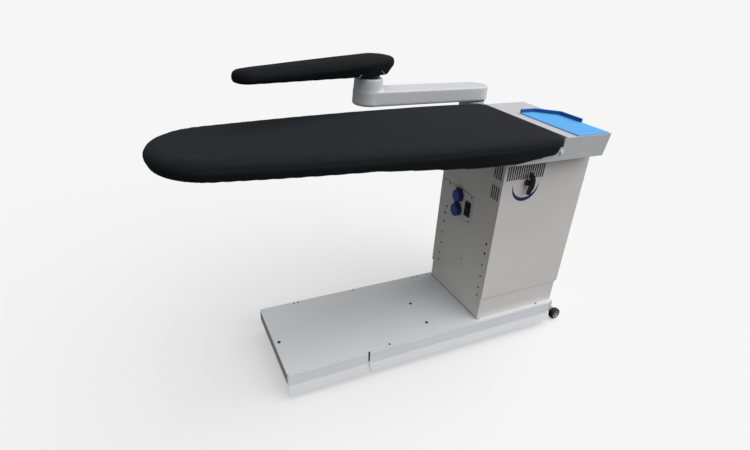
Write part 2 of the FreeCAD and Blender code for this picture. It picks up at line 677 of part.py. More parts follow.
POST_FACE = PANEL_INSIDE + " + rail_deep - rail_wall - post_gap"
RAILS = [(-1, "rail_bolt_near"), (1, "rail_bolt_far")]


def rail_edges(side, bolt):
    """Y of a rail's flange end, of its channel's outer wall and of its inner wall."""
    outer = "%s + %d * (bolt_edge - rail_flange)" % (bolt, side)
    return "%s + %d * bolt_edge" % (bolt, side), outer, "%s - %d * rail_width" % (outer, side)


def make_guide_rails():
    rails = []
    for side, bolt in RAILS:
        rail = doc.addObject("PartDesign::Body", "rail")
        flange, outer, inner = rail_edges(side, bolt)
        back, front = PANEL_INSIDE, PANEL_INSIDE + " + rail_deep"
        web, lip = back + " + rail_wall", front + " - rail_wall"
        drawing = sketch(rail, offset="rail_low")
        outer_lip, outer_wall = ("%s - %d * %s" % (outer, side, size) for size in ("rail_lip", "rail_wall"))
        inner_lip, inner_wall = ("%s + %d * %s" % (inner, side, size) for size in ("rail_lip", "rail_wall"))
        polygon(drawing, [(back, flange), (web, flange), (web, outer), (front, outer), (front, outer_lip),
                          (lip, outer_lip), (lip, outer_wall), (web, outer_wall), (web, inner_wall),
                          (lip, inner_wall), (lip, inner_lip), (front, inner_lip), (front, inner),
                          (back, inner)])
        pad(rail, drawing, "rail_length")
        holes = sketch(rail, "YZ_Plane", web)
        for z in BOLT_ROWS:
            circle(holes, bolt, z, "bolt_radius + shaft_fit")
        for z in ("hole_low", "hole_high"):
            circle(holes, bolt, z, "panel_hole")
        pocket(rail, holes, "rail_wall")
        rails.append(rail)
    return node(group(*rails), "guide_rails")


def make_slide_posts():
    posts = []
    for side, bolt in RAILS:
        flange, outer, inner = rail_edges(side, bolt)
        ends = ["%s - %d * (rail_wall + post_gap)" % (outer, side),
                "%s + %d * (rail_wall + post_gap)" % (inner, side)]
        near, far = ends if side < 0 else ends[::-1]
        posts.append(box(PANEL_INSIDE + " + rail_wall + post_gap", POST_FACE, near, far,
                         "post_low", "tray_bottom"))
    return node(group(*posts), "slide_posts")


def make_lift_crossbar():
    near = rail_edges(*RAILS[0])[1] + " + rail_wall + post_gap"
    far = rail_edges(*RAILS[1])[1] + " - rail_wall - post_gap"
    wall = box(POST_FACE, POST_FACE + " + crossbar_wall", near, far,
               CROSSBAR_LOW, CROSSBAR_LOW + " + crossbar_tall")
    foot = box(POST_FACE, POST_FACE + " + crossbar_reach",
               "gas_y - crossbar_foot / 2", "gas_y + crossbar_foot / 2",
               CROSSBAR_LOW, CROSSBAR_LOW + " + crossbar_wall")
    return node(fuse(wall, foot), "lift_crossbar")


def make_gas_spring():
    floor = "base_top + gas_plate"
    plate = box("gas_x - gas_foot / 2", "gas_x + gas_foot / 2",
                "gas_y - gas_foot / 2", "gas_y + gas_foot / 2",
                "base_top", floor)
    tube = rod("gas_radius", "gas_length", "gas_x", "gas_y", floor)
    bore = rod("gas_bore", "gas_length - gas_plate - gas_cap", "gas_x", "gas_y", floor + " + gas_plate")
    mouth = rod("gas_rod + gas_fit", "gas_length", "gas_x", "gas_y", floor + " + gas_plate")
    node(cut(fuse(plate, tube), bore, mouth), "gas_spring_cylinder")
    low = floor + " + gas_length - gas_inside"
    stem = rod("gas_rod", "%s - (%s)" % (CROSSBAR_LOW, low), "gas_x", "gas_y", low)
    piston = rod("gas_bore - gas_fit", "piston_height", "gas_x", "gas_y", low)
    node(fuse(stem, piston), "gas_spring_rod")


# Sockets, switch and screws on the side panel

PLATE_FACE = "column_left - hatch_sheet"
SOCKET_MOUTH = "column_left - hatch_sheet - socket_front"
LID_FACE = "column_left - hatch_sheet - socket_front - seat_gap"
SOCKETS = [("upper", "socket_upper"), ("lower", "socket_lower")]
HATCH_SCREWS = [(y, z) for y in ("hatch_screw_near", "hatch_screw_far")
                for z in ("hatch_low + hatch_screw_inset", "hatch_high - hatch_screw_inset")]


def make_socket_hatch():
    piece = body("socket_hatch")
    face = sketch(piece, "YZ_Plane", PLATE_FACE)
    rectangle(face, "hatch_near", "hatch_far", "hatch_low", "hatch_high")
    pad(piece, face, "hatch_sheet")
    holes = sketch(piece, "YZ_Plane", "column_left")
    for name, z in SOCKETS:
        circle(holes, "socket_y", z, "barrel_radius + socket_fit")
    half_wide, half_tall = "(power_body_width / 2 + socket_fit)", "(power_body_tall / 2 + socket_fit)"
    rectangle(holes, "power_y - " + half_wide, "power_y + " + half_wide,
              "power_z - " + half_tall, "power_z + " + half_tall)
    pocket(piece, holes, "hatch_sheet")
    return piece


def make_socket(name, z):
    """Round panel socket with a well for the plug and lugs for its lid."""
    piece = body("socket_" + name)
    section = sketch(piece)
    polygon(section, [("0", "well_depth - socket_front"), ("well_radius", "well_depth - socket_front"),
                      ("well_radius", "-socket_front"), ("socket_radius", "-socket_front"),
                      ("socket_radius", "0"),
                      ("barrel_radius", "0"), ("barrel_radius", "barrel_depth"), ("0", "barrel_depth")])
    revolve(piece, section)
    for side in (-1, 1):
        inner = "%d * (knuckle_width / 2 + lug_gap)" % side
        outer = "%d * (knuckle_width / 2 + lug_gap + lug_width)" % side
        near, far = (outer, inner) if side < 0 else (inner, outer)
        lug = sketch(piece, "YZ_Plane", near)
        polygon(lug, [("-socket_front", "socket_radius - lid_thick"), ("0", "socket_radius - lid_thick"),
                      ("0", "lid_rise"), ("-socket_front + knuckle_radius", "lid_rise + knuckle_radius"),
                      ("-socket_front - knuckle_radius", "lid_rise + knuckle_radius"),
                      ("-socket_front - knuckle_radius", "lid_rise - knuckle_radius"),
                      ("-socket_front", "lid_rise - knuckle_radius")])
        pad(piece, lug, "lug_width")
    pin = sketch(piece, "YZ_Plane", "-(knuckle_width / 2 + lug_gap)")
    circle(pin, "-socket_front", "lid_rise", "hinge_pin")
    pad(piece, pin, "knuckle_width + 2 * lug_gap")
    contacts = sketch(piece, "XZ_Plane", "-barrel_depth")
    for side in (-1, 1):
        circle(contacts, "%d * contact_half" % side, "0", "contact_hole")
    pocket(piece, contacts, "barrel_depth - well_depth + socket_front", back=True)
    stand_on_hatch(piece, z)


def scallop(piece, front, depth):
    """A ring of shallow finger grooves round a disc."""
    drawing = sketch(piece, "XZ_Plane", front)
    circle(drawing, "0", "-(socket_radius + scallop_radius - scallop_depth)", "scallop_radius")
    groove = pocket(piece, drawing, depth)
    ring = piece.newObject("PartDesign::PolarPattern", piece.Name + "_grooves")
    ring.Originals = [groove]
    ring.Axis = (drawing, ["N_Axis"])
    ring.Angle = 360
    bind(ring, Occurrences="scallops")
    piece.Tip = ring
    doc.recompute()


def stand_on_hatch(piece, z):
    """Turns a piece that was drawn facing -Y so that it faces -X on the hatch plate."""
    turn = FreeCAD.Rotation(FreeCAD.Vector(0, 0, 1), -90)
    piece.Placement = FreeCAD.Placement(FreeCAD.Vector(), turn)
    place(piece, PLATE_FACE, "socket_y", z)


def make_lid(name, z):
    piece = body("lid_" + name)
    back = "socket_front + seat_gap"
    disc = sketch(piece, "XZ_Plane", back)
    circle(disc, "0", "0", "socket_radius")
    pad(piece, disc, "lid_thick")
    front = number("-(%s) - lid_thick" % back)
    round_edges(piece, "lid_thick / 3", lambda spot: abs(spot.y - front) < 1e-4)
    scallop(piece, back + " + lid_thick", "lid_thick")
    half = "knuckle_width / 2"
    strap = sketch(piece, "XZ_Plane", back)
    rectangle(strap, "-" + half, half, "socket_radius - lid_thick", "lid_rise")
    pad(piece, strap, "lid_thick / 2")
    knuckle = sketch(piece, "YZ_Plane", "-" + half)
    circle(knuckle, "-socket_front", "lid_rise", "knuckle_radius")
    pad(piece, knuckle, "knuckle_width")
    hole = sketch(piece, "YZ_Plane", "-" + half)
    circle(hole, "-socket_front", "lid_rise", "hinge_pin + hinge_fit")
    pocket(piece, hole, "knuckle_width", back=True)
    stand_on_hatch(piece, z)


def make_switch():
    front = PLATE_FACE + " - power_front"
    bezel = box(front, PLATE_FACE, "power_y - power_width / 2", "power_y + power_width / 2",
                "power_z - power_tall / 2", "power_z + power_tall / 2")
    can = box(PLATE_FACE, PLATE_FACE + " + power_depth",
              "power_y - power_body_width / 2", "power_y + power_body_width / 2",
              "power_z - power_body_tall / 2", "power_z + power_body_tall / 2")
    window = box(front, PLATE_FACE + " + power_depth - hatch_sheet",
                 "power_y - window_width / 2", "power_y + window_width / 2",
                 "power_z - window_tall / 2", "power_z + window_tall / 2")
    axle = rod("rocker_axle", "window_width", PLATE_FACE, "power_y - window_width / 2", "power_z", "Y")
    node(fuse(cut(fuse(bezel, can), window), axle), "switch_housing")
    piece = body("switch_rocker")
    half = "window_width / 2 - rocker_gap"
    section = sketch(piece, "XZ_Plane", "-(%s)" % half)
    slant = "rocker_tall / 2 * tan(rocker_angle)"
    back, tip = "rocker_deep - power_front", "-power_front - %s" % slant
    polygon(section, [("-power_front", "0"), (tip, "rocker_tall / 2"), (back, "rocker_tall / 4"),
                      (back, "-rocker_tall / 4"), (tip, "-rocker_tall / 2")])
    pad(piece, section, "2 * (%s)" % half)
    hole = sketch(piece, "XZ_Plane", "-(%s)" % half)
    circle(hole, "0", "0", "rocker_axle + hinge_fit")
    pocket(piece, hole, "2 * (%s)" % half, back=True)
    turn = FreeCAD.Rotation(FreeCAD.Vector(0, 1, 0), number("-rocker_angle"))
    piece.Placement = FreeCAD.Placement(FreeCAD.Vector(), turn)
    place(piece, PLATE_FACE, "power_y", "power_z")


def make_panel_screws():
    screws = []
    for bolt in ("rail_bolt_near", "rail_bolt_far"):
        for z in BOLT_ROWS:
            size = "big_head" if z == "bolt_high" else "bolt_head"
            head = rod(size, "head_height", "column_left - head_height", bolt, z, "X")
            shank = rod("bolt_radius", "cover_sheet + rail_wall", "column_left", bolt, z, "X")
            screws.append(fuse(head, shank))
    for y, z in HATCH_SCREWS:
        screws.append(rod("bolt_head", "head_height", PLATE_FACE + " - head_height", y, z, "X"))
    return node(group(*screws), "panel_screws")


# Air: diverter box with its flap and lever, fan, motor and ducts

BOX_LEFT, BOX_RIGHT = "lever_x - box_half", "lever_x + box_half"
FAN_LEFT = "lever_x + box_half"
FAN_RIGHT = "lever_x + box_half + fan_width"


def make_diverter():
    near, far = "-box_depth / 2", "box_depth / 2"
    outer = box(BOX_LEFT, BOX_RIGHT, near, far, "box_low", "tray_bottom")
    inner = box(BOX_LEFT + " + box_sheet", BOX_RIGHT + " - box_sheet",
                near + " + box_sheet", far + " - box_sheet", "box_low + box_sheet", "tray_bottom")
    mouth = rod("fan_mouth", "2 * box_sheet", BOX_RIGHT + " - 2 * box_sheet", "0", "fan_z", "X")
    to_arm = rod("duct_radius - duct_wall", "2 * box_sheet",
                 "duct_x", far + " - 2 * box_sheet", "lever_z", "Y")
    bearing = rod("shaft_radius + shaft_fit", "2 * box_sheet", "lever_x", near, "lever_z", "Y")
    node(cut(outer, inner, mouth, to_arm, bearing), "diverter_box")
    start = "-column_near - hub_length"
    length = "%s - 2 * box_sheet - flap_gap - (%s)" % (far, start)
    node(rod("shaft_radius", length, "lever_x", start, "lever_z", "Y"), "diverter_shaft")
    flap_near, flap_far = near + " + box_sheet + flap_gap", far + " - box_sheet - flap_gap"
    plate = box("lever_x - flap_plate / 2", "lever_x + flap_plate / 2", flap_near, flap_far,
                "lever_z - flap_half", "lever_z + flap_half")
    sleeve = rod("flap_sleeve", "%s - (%s)" % (flap_far, flap_near), "lever_x", flap_near, "lever_z", "Y")
    bore = rod("shaft_radius + turn_fit", "box_depth", "lever_x", near, "lever_z", "Y")
    node(cut(fuse(plate, sleeve), bore), "diverter_flap")


def make_lever_handle():
    """A wing handle whose grip bulges at the middle, on a round hub."""
    piece = body("lever_handle")
    face = "column_near + seat_gap"
    hub = sketch(piece, "XZ_Plane", face)
    circle(hub, "0", "0", "hub_round")
    pad(piece, hub, "hub_length")
    wing = sketch(piece, "XZ_Plane", face + " + hub_length")
    half, wide = "handle_length / 2", "handle_width / 2"
    right = [("handle_tip", "-" + half), (wide + " + handle_bow", "-handle_length / 6"),
             (wide + " + handle_bow", "handle_length / 6"), ("handle_tip", half)]
    left = [("-handle_tip", half), ("handle_bow - " + wide, "handle_length / 6"),
            ("handle_bow - " + wide, "-handle_length / 6"), ("-handle_tip", "-" + half)]
    polygon(wing, right + left)
    pad(piece, wing, "handle_thick")
    front = number("-(%s + hub_length + handle_thick)" % face)
    round_edges(piece, "handle_round", lambda spot: abs(spot.y - front) < 1e-4)
    bore = sketch(piece, "XZ_Plane", face)
    circle(bore, "0", "0", "shaft_radius + turn_fit")
    pocket(piece, bore, "hub_length", back=True)
    place(piece, "lever_x", "0", "lever_z")


def make_fan():
    drum = rod("fan_radius", "fan_width", FAN_LEFT, "0", "fan_z", "X")
    chute = box(FAN_LEFT, FAN_RIGHT, "fan_radius - outlet_width", "fan_radius - fan_sheet",
                "fan_z - fan_radius - outlet_tall", "fan_z")
    room = rod("fan_radius - fan_sheet", "fan_width - 2 * fan_sheet",
               FAN_LEFT + " + fan_sheet", "0", "fan_z", "X")
    way = box(FAN_LEFT + " + fan_sheet", FAN_RIGHT + " - fan_sheet",
              "fan_radius - outlet_width + fan_sheet", "fan_radius - 2 * fan_sheet",
              "fan_z - fan_radius - outlet_tall", "fan_z")
    mouth = rod("fan_mouth", "fan_width / 2", FAN_LEFT, "0", "fan_z", "X")
    neck = rod("motor_neck + seat_gap", "fan_width", FAN_LEFT, "0", "fan_z", "X")
    node(cut(fuse(drum, chute), room, way, mouth, neck), "fan_housing")
    motor = body("fan_motor")
    section = sketch(motor)
    flare = "motor_radius - motor_cap"
    polygon(section, [("-fan_sheet", "fan_axle + turn_fit"), ("-fan_sheet", "motor_neck"),
                      ("0", "motor_neck"),
                      ("0", "motor_radius"), ("motor_length - (%s)" % flare, "motor_radius"),
                      ("motor_length", "motor_cap"), ("motor_length", "0"), ("motor_length / 2", "0"),
                      ("motor_length / 2", "fan_axle + turn_fit")])
    revolve(motor, section, "H_Axis")
    place(motor, FAN_RIGHT, "0", "fan_z")
    shaft = rod("fan_axle", "fan_width / 2 + motor_length / 2 - seat_gap",
                FAN_RIGHT + " - fan_width / 2", "0", "fan_z", "X")
    node(shaft, "fan_shaft")


def make_impeller():
    """Back plate and hub with a ring of blades."""
    piece = body("fan_impeller")
    section = sketch(piece)
    back = "-fan_sheet - impeller_gap"
    polygon(section, [(back, "fan_axle + turn_fit"), (back, "impeller_radius"),
                      (back + " - back_plate", "impeller_radius"), (back + " - back_plate", "hub_outer"),
                      (back + " - impeller_width / 2", "hub_outer"),
                      (back + " - impeller_width / 2", "fan_axle + turn_fit")])
    revolve(piece, section, "H_Axis")
    blade = sketch(piece, "YZ_Plane", back + " - impeller_width")
    polygon(blade, [("-blade_plate / 2", "blade_inner"), ("blade_plate / 2", "blade_inner"),
                    ("blade_plate / 2 + blade_inner / 3", "impeller_radius - blade_plate"),
                    ("blade_inner / 3 - blade_plate / 2", "impeller_radius - blade_plate")])
    vane = pad(piece, blade, "impeller_width - back_plate / 2")
    doc.recompute()
    ring = piece.newObject("PartDesign::PolarPattern", piece.Name + "_blades")
    ring.Originals = [vane]
    ring.Axis = (section, ["H_Axis"])
    ring.Angle = 360
    bind(ring, Occurrences="blade_count")
    piece.Tip = ring
    place(piece, FAN_RIGHT, "0", "fan_z")


def make_arm_support():
    """Duct, duct box behind the tray, and the post that the arm turns on."""
    rear = "tray_width / 2"
    tube = rod("duct_radius", "%s - box_depth / 2" % rear, "duct_x", "box_depth / 2", "lever_z", "Y")
    bore = rod("duct_radius - duct_wall", "tray_width", "duct_x", "0", "lever_z", "Y")
    node(cut(tube, bore), "arm_duct")
    left, right, back = "duct_box_left", "duct_box_right", rear + " + duct_box_depth"
    outer = box(left, right, rear, back, "duct_box_low", "duct_box_high")
    ear = box(STEP_X + " + board_gap", right, rear, rear + " + duct_box_wall",
              "duct_box_high", "lug_plate_high")
    inner = box(left + " + duct_box_wall", right + " - duct_box_wall", rear + " + duct_box_wall",
                back + " - duct_box_wall", "duct_box_low + duct_box_wall", "duct_box_high - duct_box_wall")
    inlet = rod("duct_radius - duct_wall", "2 * duct_box_wall", "duct_x", rear, "lever_z", "Y")
    riser = rod("post_radius - post_wall", "2 * duct_box_wall",
                "arm_post_x", ARM_Y, "duct_box_high - 2 * duct_box_wall")
    node(cut(fuse(outer, ear), inner, inlet, riser), "arm_bracket")
    post = body("arm_post")
    section = sketch(post, "XZ_Plane")
    top, rise = "arm_low - washer_thick", "arm_low + spigot_rise"
    bore, way, roof = "spigot_radius - post_wall", "post_radius - post_wall", top + " - post_wall"
    polygon(section, [("post_radius", "duct_box_high"), ("post_radius", top), ("spigot_radius", top),
                      ("spigot_radius", rise), (bore, rise), (bore, roof), (way, roof),
                      (way, "duct_box_high")])
    revolve(post, section)
    place(post, "arm_post_x", ARM_Y)
    ring = rod("post_radius", "washer_thick", "arm_post_x", ARM_Y, top)
    hole = rod("spigot_radius + turn_fit", "washer_thick", "arm_post_x", ARM_Y, top)
    node(cut(ring, hole), "arm_washer")


# Tray, its floor and the iron rest

STEP_X = "board_right + board_gap"


def make_tray():
    piece = body("tray_shell")
    side = sketch(piece, "XZ_Plane", "-tray_width / 2")
    polygon(side, [("tray_left", "tray_bottom"), ("tray_end - tray_slope", "tray_bottom"),
                   ("tray_end", "tray_top"),
                   (STEP_X, "tray_top"), (STEP_X, "shelf_top"), ("tray_left", "shelf_top")])
    pad(piece, side, "tray_width")
    inside = sketch(piece, "XZ_Plane", "tray_sheet - tray_width / 2")
    left, step = "tray_left + tray_sheet", STEP_X + " + tray_sheet"
    foot = "tray_end - tray_slope - tray_sheet"
    roof, shelf = "tray_top - tray_sheet", "shelf_top - tray_sheet"
    polygon(inside, [(left, "tray_bottom"), (foot, "tray_bottom"), ("tray_end - tray_sheet", roof),
                     (step, roof), (step, shelf), (left, shelf)])
    pocket(piece, inside, "tray_width - 2 * tray_sheet", back=True)
    air = sketch(piece, offset="shelf_top")
    circle(air, "lever_x", "0", "air_hole")
    pocket(piece, air, "tray_sheet")
    for back in ("tray_width / 2 - tray_sheet", "-tray_width / 2"):
        wing = sketch(piece, "XZ_Plane", back)
        polygon(wing, [("hem_start", "shelf_top - tray_sheet"), ("hem_start", "shelf_top - seat_gap"),
                       ("hem_rise_x", "hem_rise - seat_gap"), ("hem_end_x", "hem_end - seat_gap"),
                       ("wing_post", "hem_end - seat_gap"), ("wing_post", "tray_top"), (STEP_X, "tray_top"),
                       (STEP_X, "shelf_top - tray_sheet")])
        pad(piece, wing, "tray_sheet")
    holes = sketch(piece, "XZ_Plane", "tray_width / 2")
    circle(holes, "tray_screw_x", "tray_screw_z", "screw_radius + shaft_fit")
    pocket(piece, holes, "tray_width")
    plate = box(left, foot, "tray_sheet - tray_width / 2", "tray_width / 2 - tray_sheet",
                "tray_bottom", "tray_bottom + floor_plate")
    opening = rod("air_hole", "floor_plate", "lever_x", "0", "tray_bottom")
    node(cut(plate, opening), "tray_floor")
    screws = []
    for side in (-1, 1):
        face = "%d * tray_width / 2" % side
        head_y = face if side > 0 else face + " - screw_height"
        shank_y = face + " - tray_sheet" if side > 0 else face
        screws.append(fuse(rod("screw_head", "screw_height", "tray_screw_x", head_y, "tray_screw_z", "Y"),
                           rod("screw_radius", "tray_sheet", "tray_screw_x", shank_y, "tray_screw_z", "Y")))
    node(group(*screws), "tray_screws")


def make_iron_rest():
    """A silicone mat with a raised rim along its far and outer edges."""
    piece = body("iron_rest")
    mat = sketch(piece, offset="tray_top")
    corner = [("rest_right", "rest_corner_y"), ("rest_corner_x", "rest_far"), ("rest_left", "rest_far")]
    polygon(mat, [("rest_left", "rest_near"), ("rest_right", "rest_near")] + corner)
    pad(piece, mat, "rest_thick")
    rim = sketch(piece, offset="tray_top")
    bevel = "rim_wall / 2"
    polygon(rim, [("rest_right", "rim_end")] + corner + [
        ("rest_left", "rest_far - rim_wall"), ("rest_corner_x - %s" % bevel, "rest_far - rim_wall"),
        ("rest_right - rim_wall", "rest_corner_y - %s" % bevel), ("rest_right - rim_wall", "rim_end")])
    pad(piece, rim, "rim_height")


# Board: pan, grille, pad and cover on one outline

def board_outline(z, inset):
    """Rounded nose, long bowed sides and a square end with rounded corners, moved in by inset."""
    drawing = free_sketch(z)
    radii = ("nose_radius", "side_radius", "corner_radius")
    nose, bow, corner = (number("%s - (%s)" % (name, inset)) for name in radii)
    nose_x = number("board_right - board_length + nose_radius")
    bow_y = number("side_radius - (%s) / 2" % BOARD_WIDTH)
    bow_x = nose_x + math.sqrt((bow - nose) ** 2 - bow_y ** 2)
    end = number("board_right - (%s)" % inset)
    corner_x = end - corner
    corner_y = math.sqrt((bow - corner) ** 2 - (corner_x - bow_x) ** 2) - bow_y
    lean = math.atan2(bow_y, nose_x - bow_x)
    turn = math.atan2(corner_y + bow_y, corner_x - bow_x)
    tip = arc(drawing, (nose_x, 0), nose, lean, 2 * math.pi - lean)
    near = arc(drawing, (bow_x, bow_y), bow, -lean, -turn)
    near_corner = arc(drawing, (corner_x, -corner_y), corner, -turn, 0)
    edge = line(drawing, (end, -corner_y), (end, corner_y))
    far_corner = arc(drawing, (corner_x, corner_y), corner, 0, turn)
    far = arc(drawing, (bow_x, -bow_y), bow, turn, lean)
    smooth_chain(drawing, [(piece, (1, 2)) for piece in (tip, near, near_corner, edge, far_corner, far)])
    drawing.addConstraint(Sketcher.Constraint("PointOnObject", tip, 3, -1))
    fix(drawing, "DistanceX", "board_right - board_length + nose_radius", -1, 1, tip, 3)
    fix(drawing, "Radius", "nose_radius - (%s)" % inset, tip)
    for bowed, sign in ((near, 1), (far, -1)):
        fix(drawing, "Radius", "side_radius - (%s)" % inset, bowed)
        fix(drawing, "DistanceY", "%d * (side_radius - (%s) / 2)" % (sign, BOARD_WIDTH), -1, 1, bowed, 3)
    for rounded in (near_corner, far_corner):
        fix(drawing, "Radius", "corner_radius - (%s)" % inset, rounded)
    fix(drawing, "DistanceX", "board_right - (%s)" % inset, -1, 1, edge, 1)
    return drawing


def board_side(raise_by):
    """Side view of the board: slim at the nose, deeper over the column."""
    drawing = free_sketch(upright=True)
    nose = "board_right - board_length"
    polygon(drawing, [(nose, "nose_under + (%s)" % raise_by), ("slope_start", "nose_under + (%s)" % raise_by),
                      ("slope_end", "shelf_top + (%s)" % raise_by),
                      ("board_right", "shelf_top + (%s)" % raise_by),
                      ("board_right", "board_top"), (nose, "board_top")])
    slab = extrude(drawing, (0, 1, 0), BOARD_WIDTH)
    place(slab, y="-(%s) / 2" % BOARD_WIDTH)
    return slab


def cover_side():
    """Side view of the cover, whose hem climbs towards the square end."""
    drawing = free_sketch(upright=True)
    nose = "board_right - board_length"
    polygon(drawing, [(nose, "nose_under"), ("slope_start", "nose_under"), ("slope_end", "shelf_top"),
                      ("hem_start", "shelf_top"), ("hem_rise_x", "hem_rise"), ("hem_end_x", "hem_end"),
                      ("board_right", "hem_end"), ("board_right", "board_top"), (nose, "board_top")])
    slab = extrude(drawing, (0, 1, 0), BOARD_WIDTH)
    place(slab, y="-(%s) / 2" % BOARD_WIDTH)
    return slab


def board_prism(inset, low, high):
    return extrude(board_outline(low, inset), (0, 0, 1), "(%s) - (%s)" % (high, low))


PAD_TOP = "board_top - cover_top"
GRILLE_TOP = "board_top - cover_top - pad_thick"
PAN_TOP = "board_top - cover_top - pad_thick - grille_plate"


def board_form(inset, top):
    """The board's block moved in by inset: upright sides that draw in below the waist."""
    lower = loft(board_outline("shelf_top", "cover_draw + %s" % inset),
                 board_outline("waist_height", inset))
    return fuse(board_prism(inset, "waist_height", top), lower)


def make_board():
    pan = common(board_form("cover_wall", PAN_TOP), board_side("0"))
    room = common(board_form("cover_wall + pan_sheet", "board_top"), board_side("pan_sheet"))
    air = rod("air_hole", "2 * pan_sheet", "lever_x", "0", "shelf_top")
    node(cut(pan, room, air), "board_pan")
    grille = board_prism("cover_wall", PAN_TOP, GRILLE_TOP)
    holes = []
    for i in range(int(number("hole_columns"))):
        for j in range(int(number("hole_rows"))):
            x = "board_right - first_hole - %d * hole_pitch" % i
            y = "(%d - (hole_rows - 1) / 2) * row_pitch" % j
            holes.append(rod("grille_hole", "grille_plate", x, y, PAN_TOP))
    node(cut(grille, *holes), "board_grille")
    node(board_prism("cover_wall", GRILLE_TOP, PAD_TOP), "board_pad")
    whole = common(board_form("0", "board_top"), cover_side())
    soft = round_solid(whole, "cover_round", at_height("board_top"))
    hollow = board_form("cover_wall - fit_gap", PAD_TOP + " + fit_gap")
    node(cut(soft, hollow), "board_cover")


# Swing arm and sleeve board

def slot_outline(drawing, left, right, y, radius):
    """Two half circles joined by straight sides."""
    x0, x1, y0, r = (number(value) for value in (left, right, y, radius))
    quarter = math.pi / 2
    start = arc(drawing, (x0, y0), r, quarter, 3 * quarter)
    low = line(drawing, (x0, y0 - r), (x1, y0 - r))
    end = arc(drawing, (x1, y0), r, -quarter, quarter)
    high = line(drawing, (x1, y0 + r), (x0, y0 + r))
    smooth_chain(drawing, [(piece, (1, 2)) for piece in (start, low, end, high)])
    fix_point(drawing, left, y, start, 3)
    fix_point(drawing, right, y, end, 3)
    fix(drawing, "Radius", radius, start)
    return drawing


def make_arm():
    """A cast arm with its boss, hollow from below, and the plate that closes it."""
    shell = body("arm_shell")
    plan = sketch(shell, offset="arm_low")
    slot_outline(plan, "arm_boss_x", "arm_post_x", ARM_Y, "arm_half")
    pad(shell, plan, "arm_high - arm_low")
    round_edges(shell, "arm_round", at_height("arm_high"))
    foot = sketch(shell, offset="arm_low")
    circle(foot, "arm_boss_x", ARM_Y, "boss_foot")
    boss = pad(shell, foot, "boss_high - arm_low")
    boss.TaperAngle = -math.degrees(math.atan(number("(boss_foot - boss_head) / (boss_high - arm_low)")))
    round_edges(shell, "boss_round", at_height("boss_high"))
    round_edges(shell, "arm_under_round", at_height("arm_low"))
    hollow = sketch(shell, offset="arm_low")
    slot_outline(hollow, "arm_boss_x", "arm_post_x", ARM_Y, "arm_half - arm_wall")
    pocket(shell, hollow, "arm_high - arm_roof - arm_low", back=True)
    well = sketch(shell, offset="arm_low")
    circle(well, "arm_boss_x", ARM_Y, "boss_head - boss_wall")
    pocket(shell, well, "boss_high - boss_wall - arm_low", back=True)
    bore = sketch(shell, offset="arm_low")
    circle(bore, "arm_boss_x", ARM_Y, "boss_bore + turn_fit")
    pocket(shell, bore, "boss_high - arm_low", back=True)
    under = body("arm_underside")
    plan = sketch(under, offset="arm_low")
    slot_outline(plan, "arm_boss_x", "arm_post_x", ARM_Y, "arm_half - arm_wall - seat_gap")
    pad(under, plan, "arm_lid")
    hole = sketch(under, offset="arm_low")
    circle(hole, "arm_post_x", ARM_Y, "spigot_radius + turn_fit")
    pocket(under, hole, "arm_lid", back=True)


def sleeve_outline(z, inset):
    """Narrow rounded nose, straight tapering sides and a wide tail, moved in by inset."""
    drawing = free_sketch(z)
    nose_r = number("sleeve_nose_half - (%s)" % inset)
    tail_r = number("sleeve_tail_corner - (%s)" % inset)
    nose_x = number("sleeve_nose_half - sleeve_nose")
    tail_x = number("sleeve_tail - sleeve_tail_corner")
    tail_y = number("sleeve_tail_half - sleeve_tail_corner")
    reach = math.hypot(tail_x - nose_x, tail_y)
    lean = math.atan2(tail_y, tail_x - nose_x) + math.acos((nose_r - tail_r) / reach)
    end = tail_x + tail_r

    def on(centre, radius, angle):
        return centre[0] + radius * math.cos(angle), centre[1] + radius * math.sin(angle)

    nose, near_tail, far_tail = (nose_x, 0), (tail_x, -tail_y), (tail_x, tail_y)
    tip = arc(drawing, nose, nose_r, lean, 2 * math.pi - lean)
    near = line(drawing, on(nose, nose_r, -lean), on(near_tail, tail_r, -lean))
    near_corner = arc(drawing, near_tail, tail_r, -lean, 0)
    edge = line(drawing, (end, -tail_y), (end, tail_y))
    far_corner = arc(drawing, far_tail, tail_r, 0, lean)
    far = line(drawing, on(far_tail, tail_r, lean), on(nose, nose_r, lean))
    smooth_chain(drawing, [(piece, (1, 2)) for piece in (tip, near, near_corner, edge, far_corner, far)])
    fix_point(drawing, "sleeve_nose_half - sleeve_nose", "0", tip, 3)
    fix(drawing, "Radius", "sleeve_nose_half - (%s)" % inset, tip)
    for corner, sign in ((near_corner, -1), (far_corner, 1)):
        fix_point(drawing, "sleeve_tail - sleeve_tail_corner",
                  "%d * (sleeve_tail_half - sleeve_tail_corner)" % sign, corner, 3)
        fix(drawing, "Radius", "sleeve_tail_corner - (%s)" % inset, corner)
    return drawing


def sleeve_prism(inset, low, high):
    return extrude(sleeve_outline(low, inset), (0, 0, 1), "(%s) - (%s)" % (high, low))


def sleeve_side(raise_by):
    drawing = free_sketch(upright=True)
    low = "sleeve_low + (%s)" % raise_by
    polygon(drawing, [("-sleeve_nose", "sleeve_under_nose + (%s)" % raise_by), ("-swivel_ring", low),
                      ("sleeve_tail", low), ("sleeve_tail", "sleeve_high"), ("-sleeve_nose", "sleeve_high")])
    slab = extrude(drawing, (0, 1, 0), "2 * sleeve_tail_half")
    place(slab, y="-sleeve_tail_half")
    return slab


def on_arm(solid, label):
    """Turns a sleeve piece to its rest angle over the arm's boss."""
    turn = FreeCAD.Rotation(FreeCAD.Vector(0, 0, 1), number("sleeve_angle"))
    solid.Placement = FreeCAD.Placement(FreeCAD.Vector(), turn)
    place(solid, "arm_boss_x", ARM_Y)
    return node(solid, label)


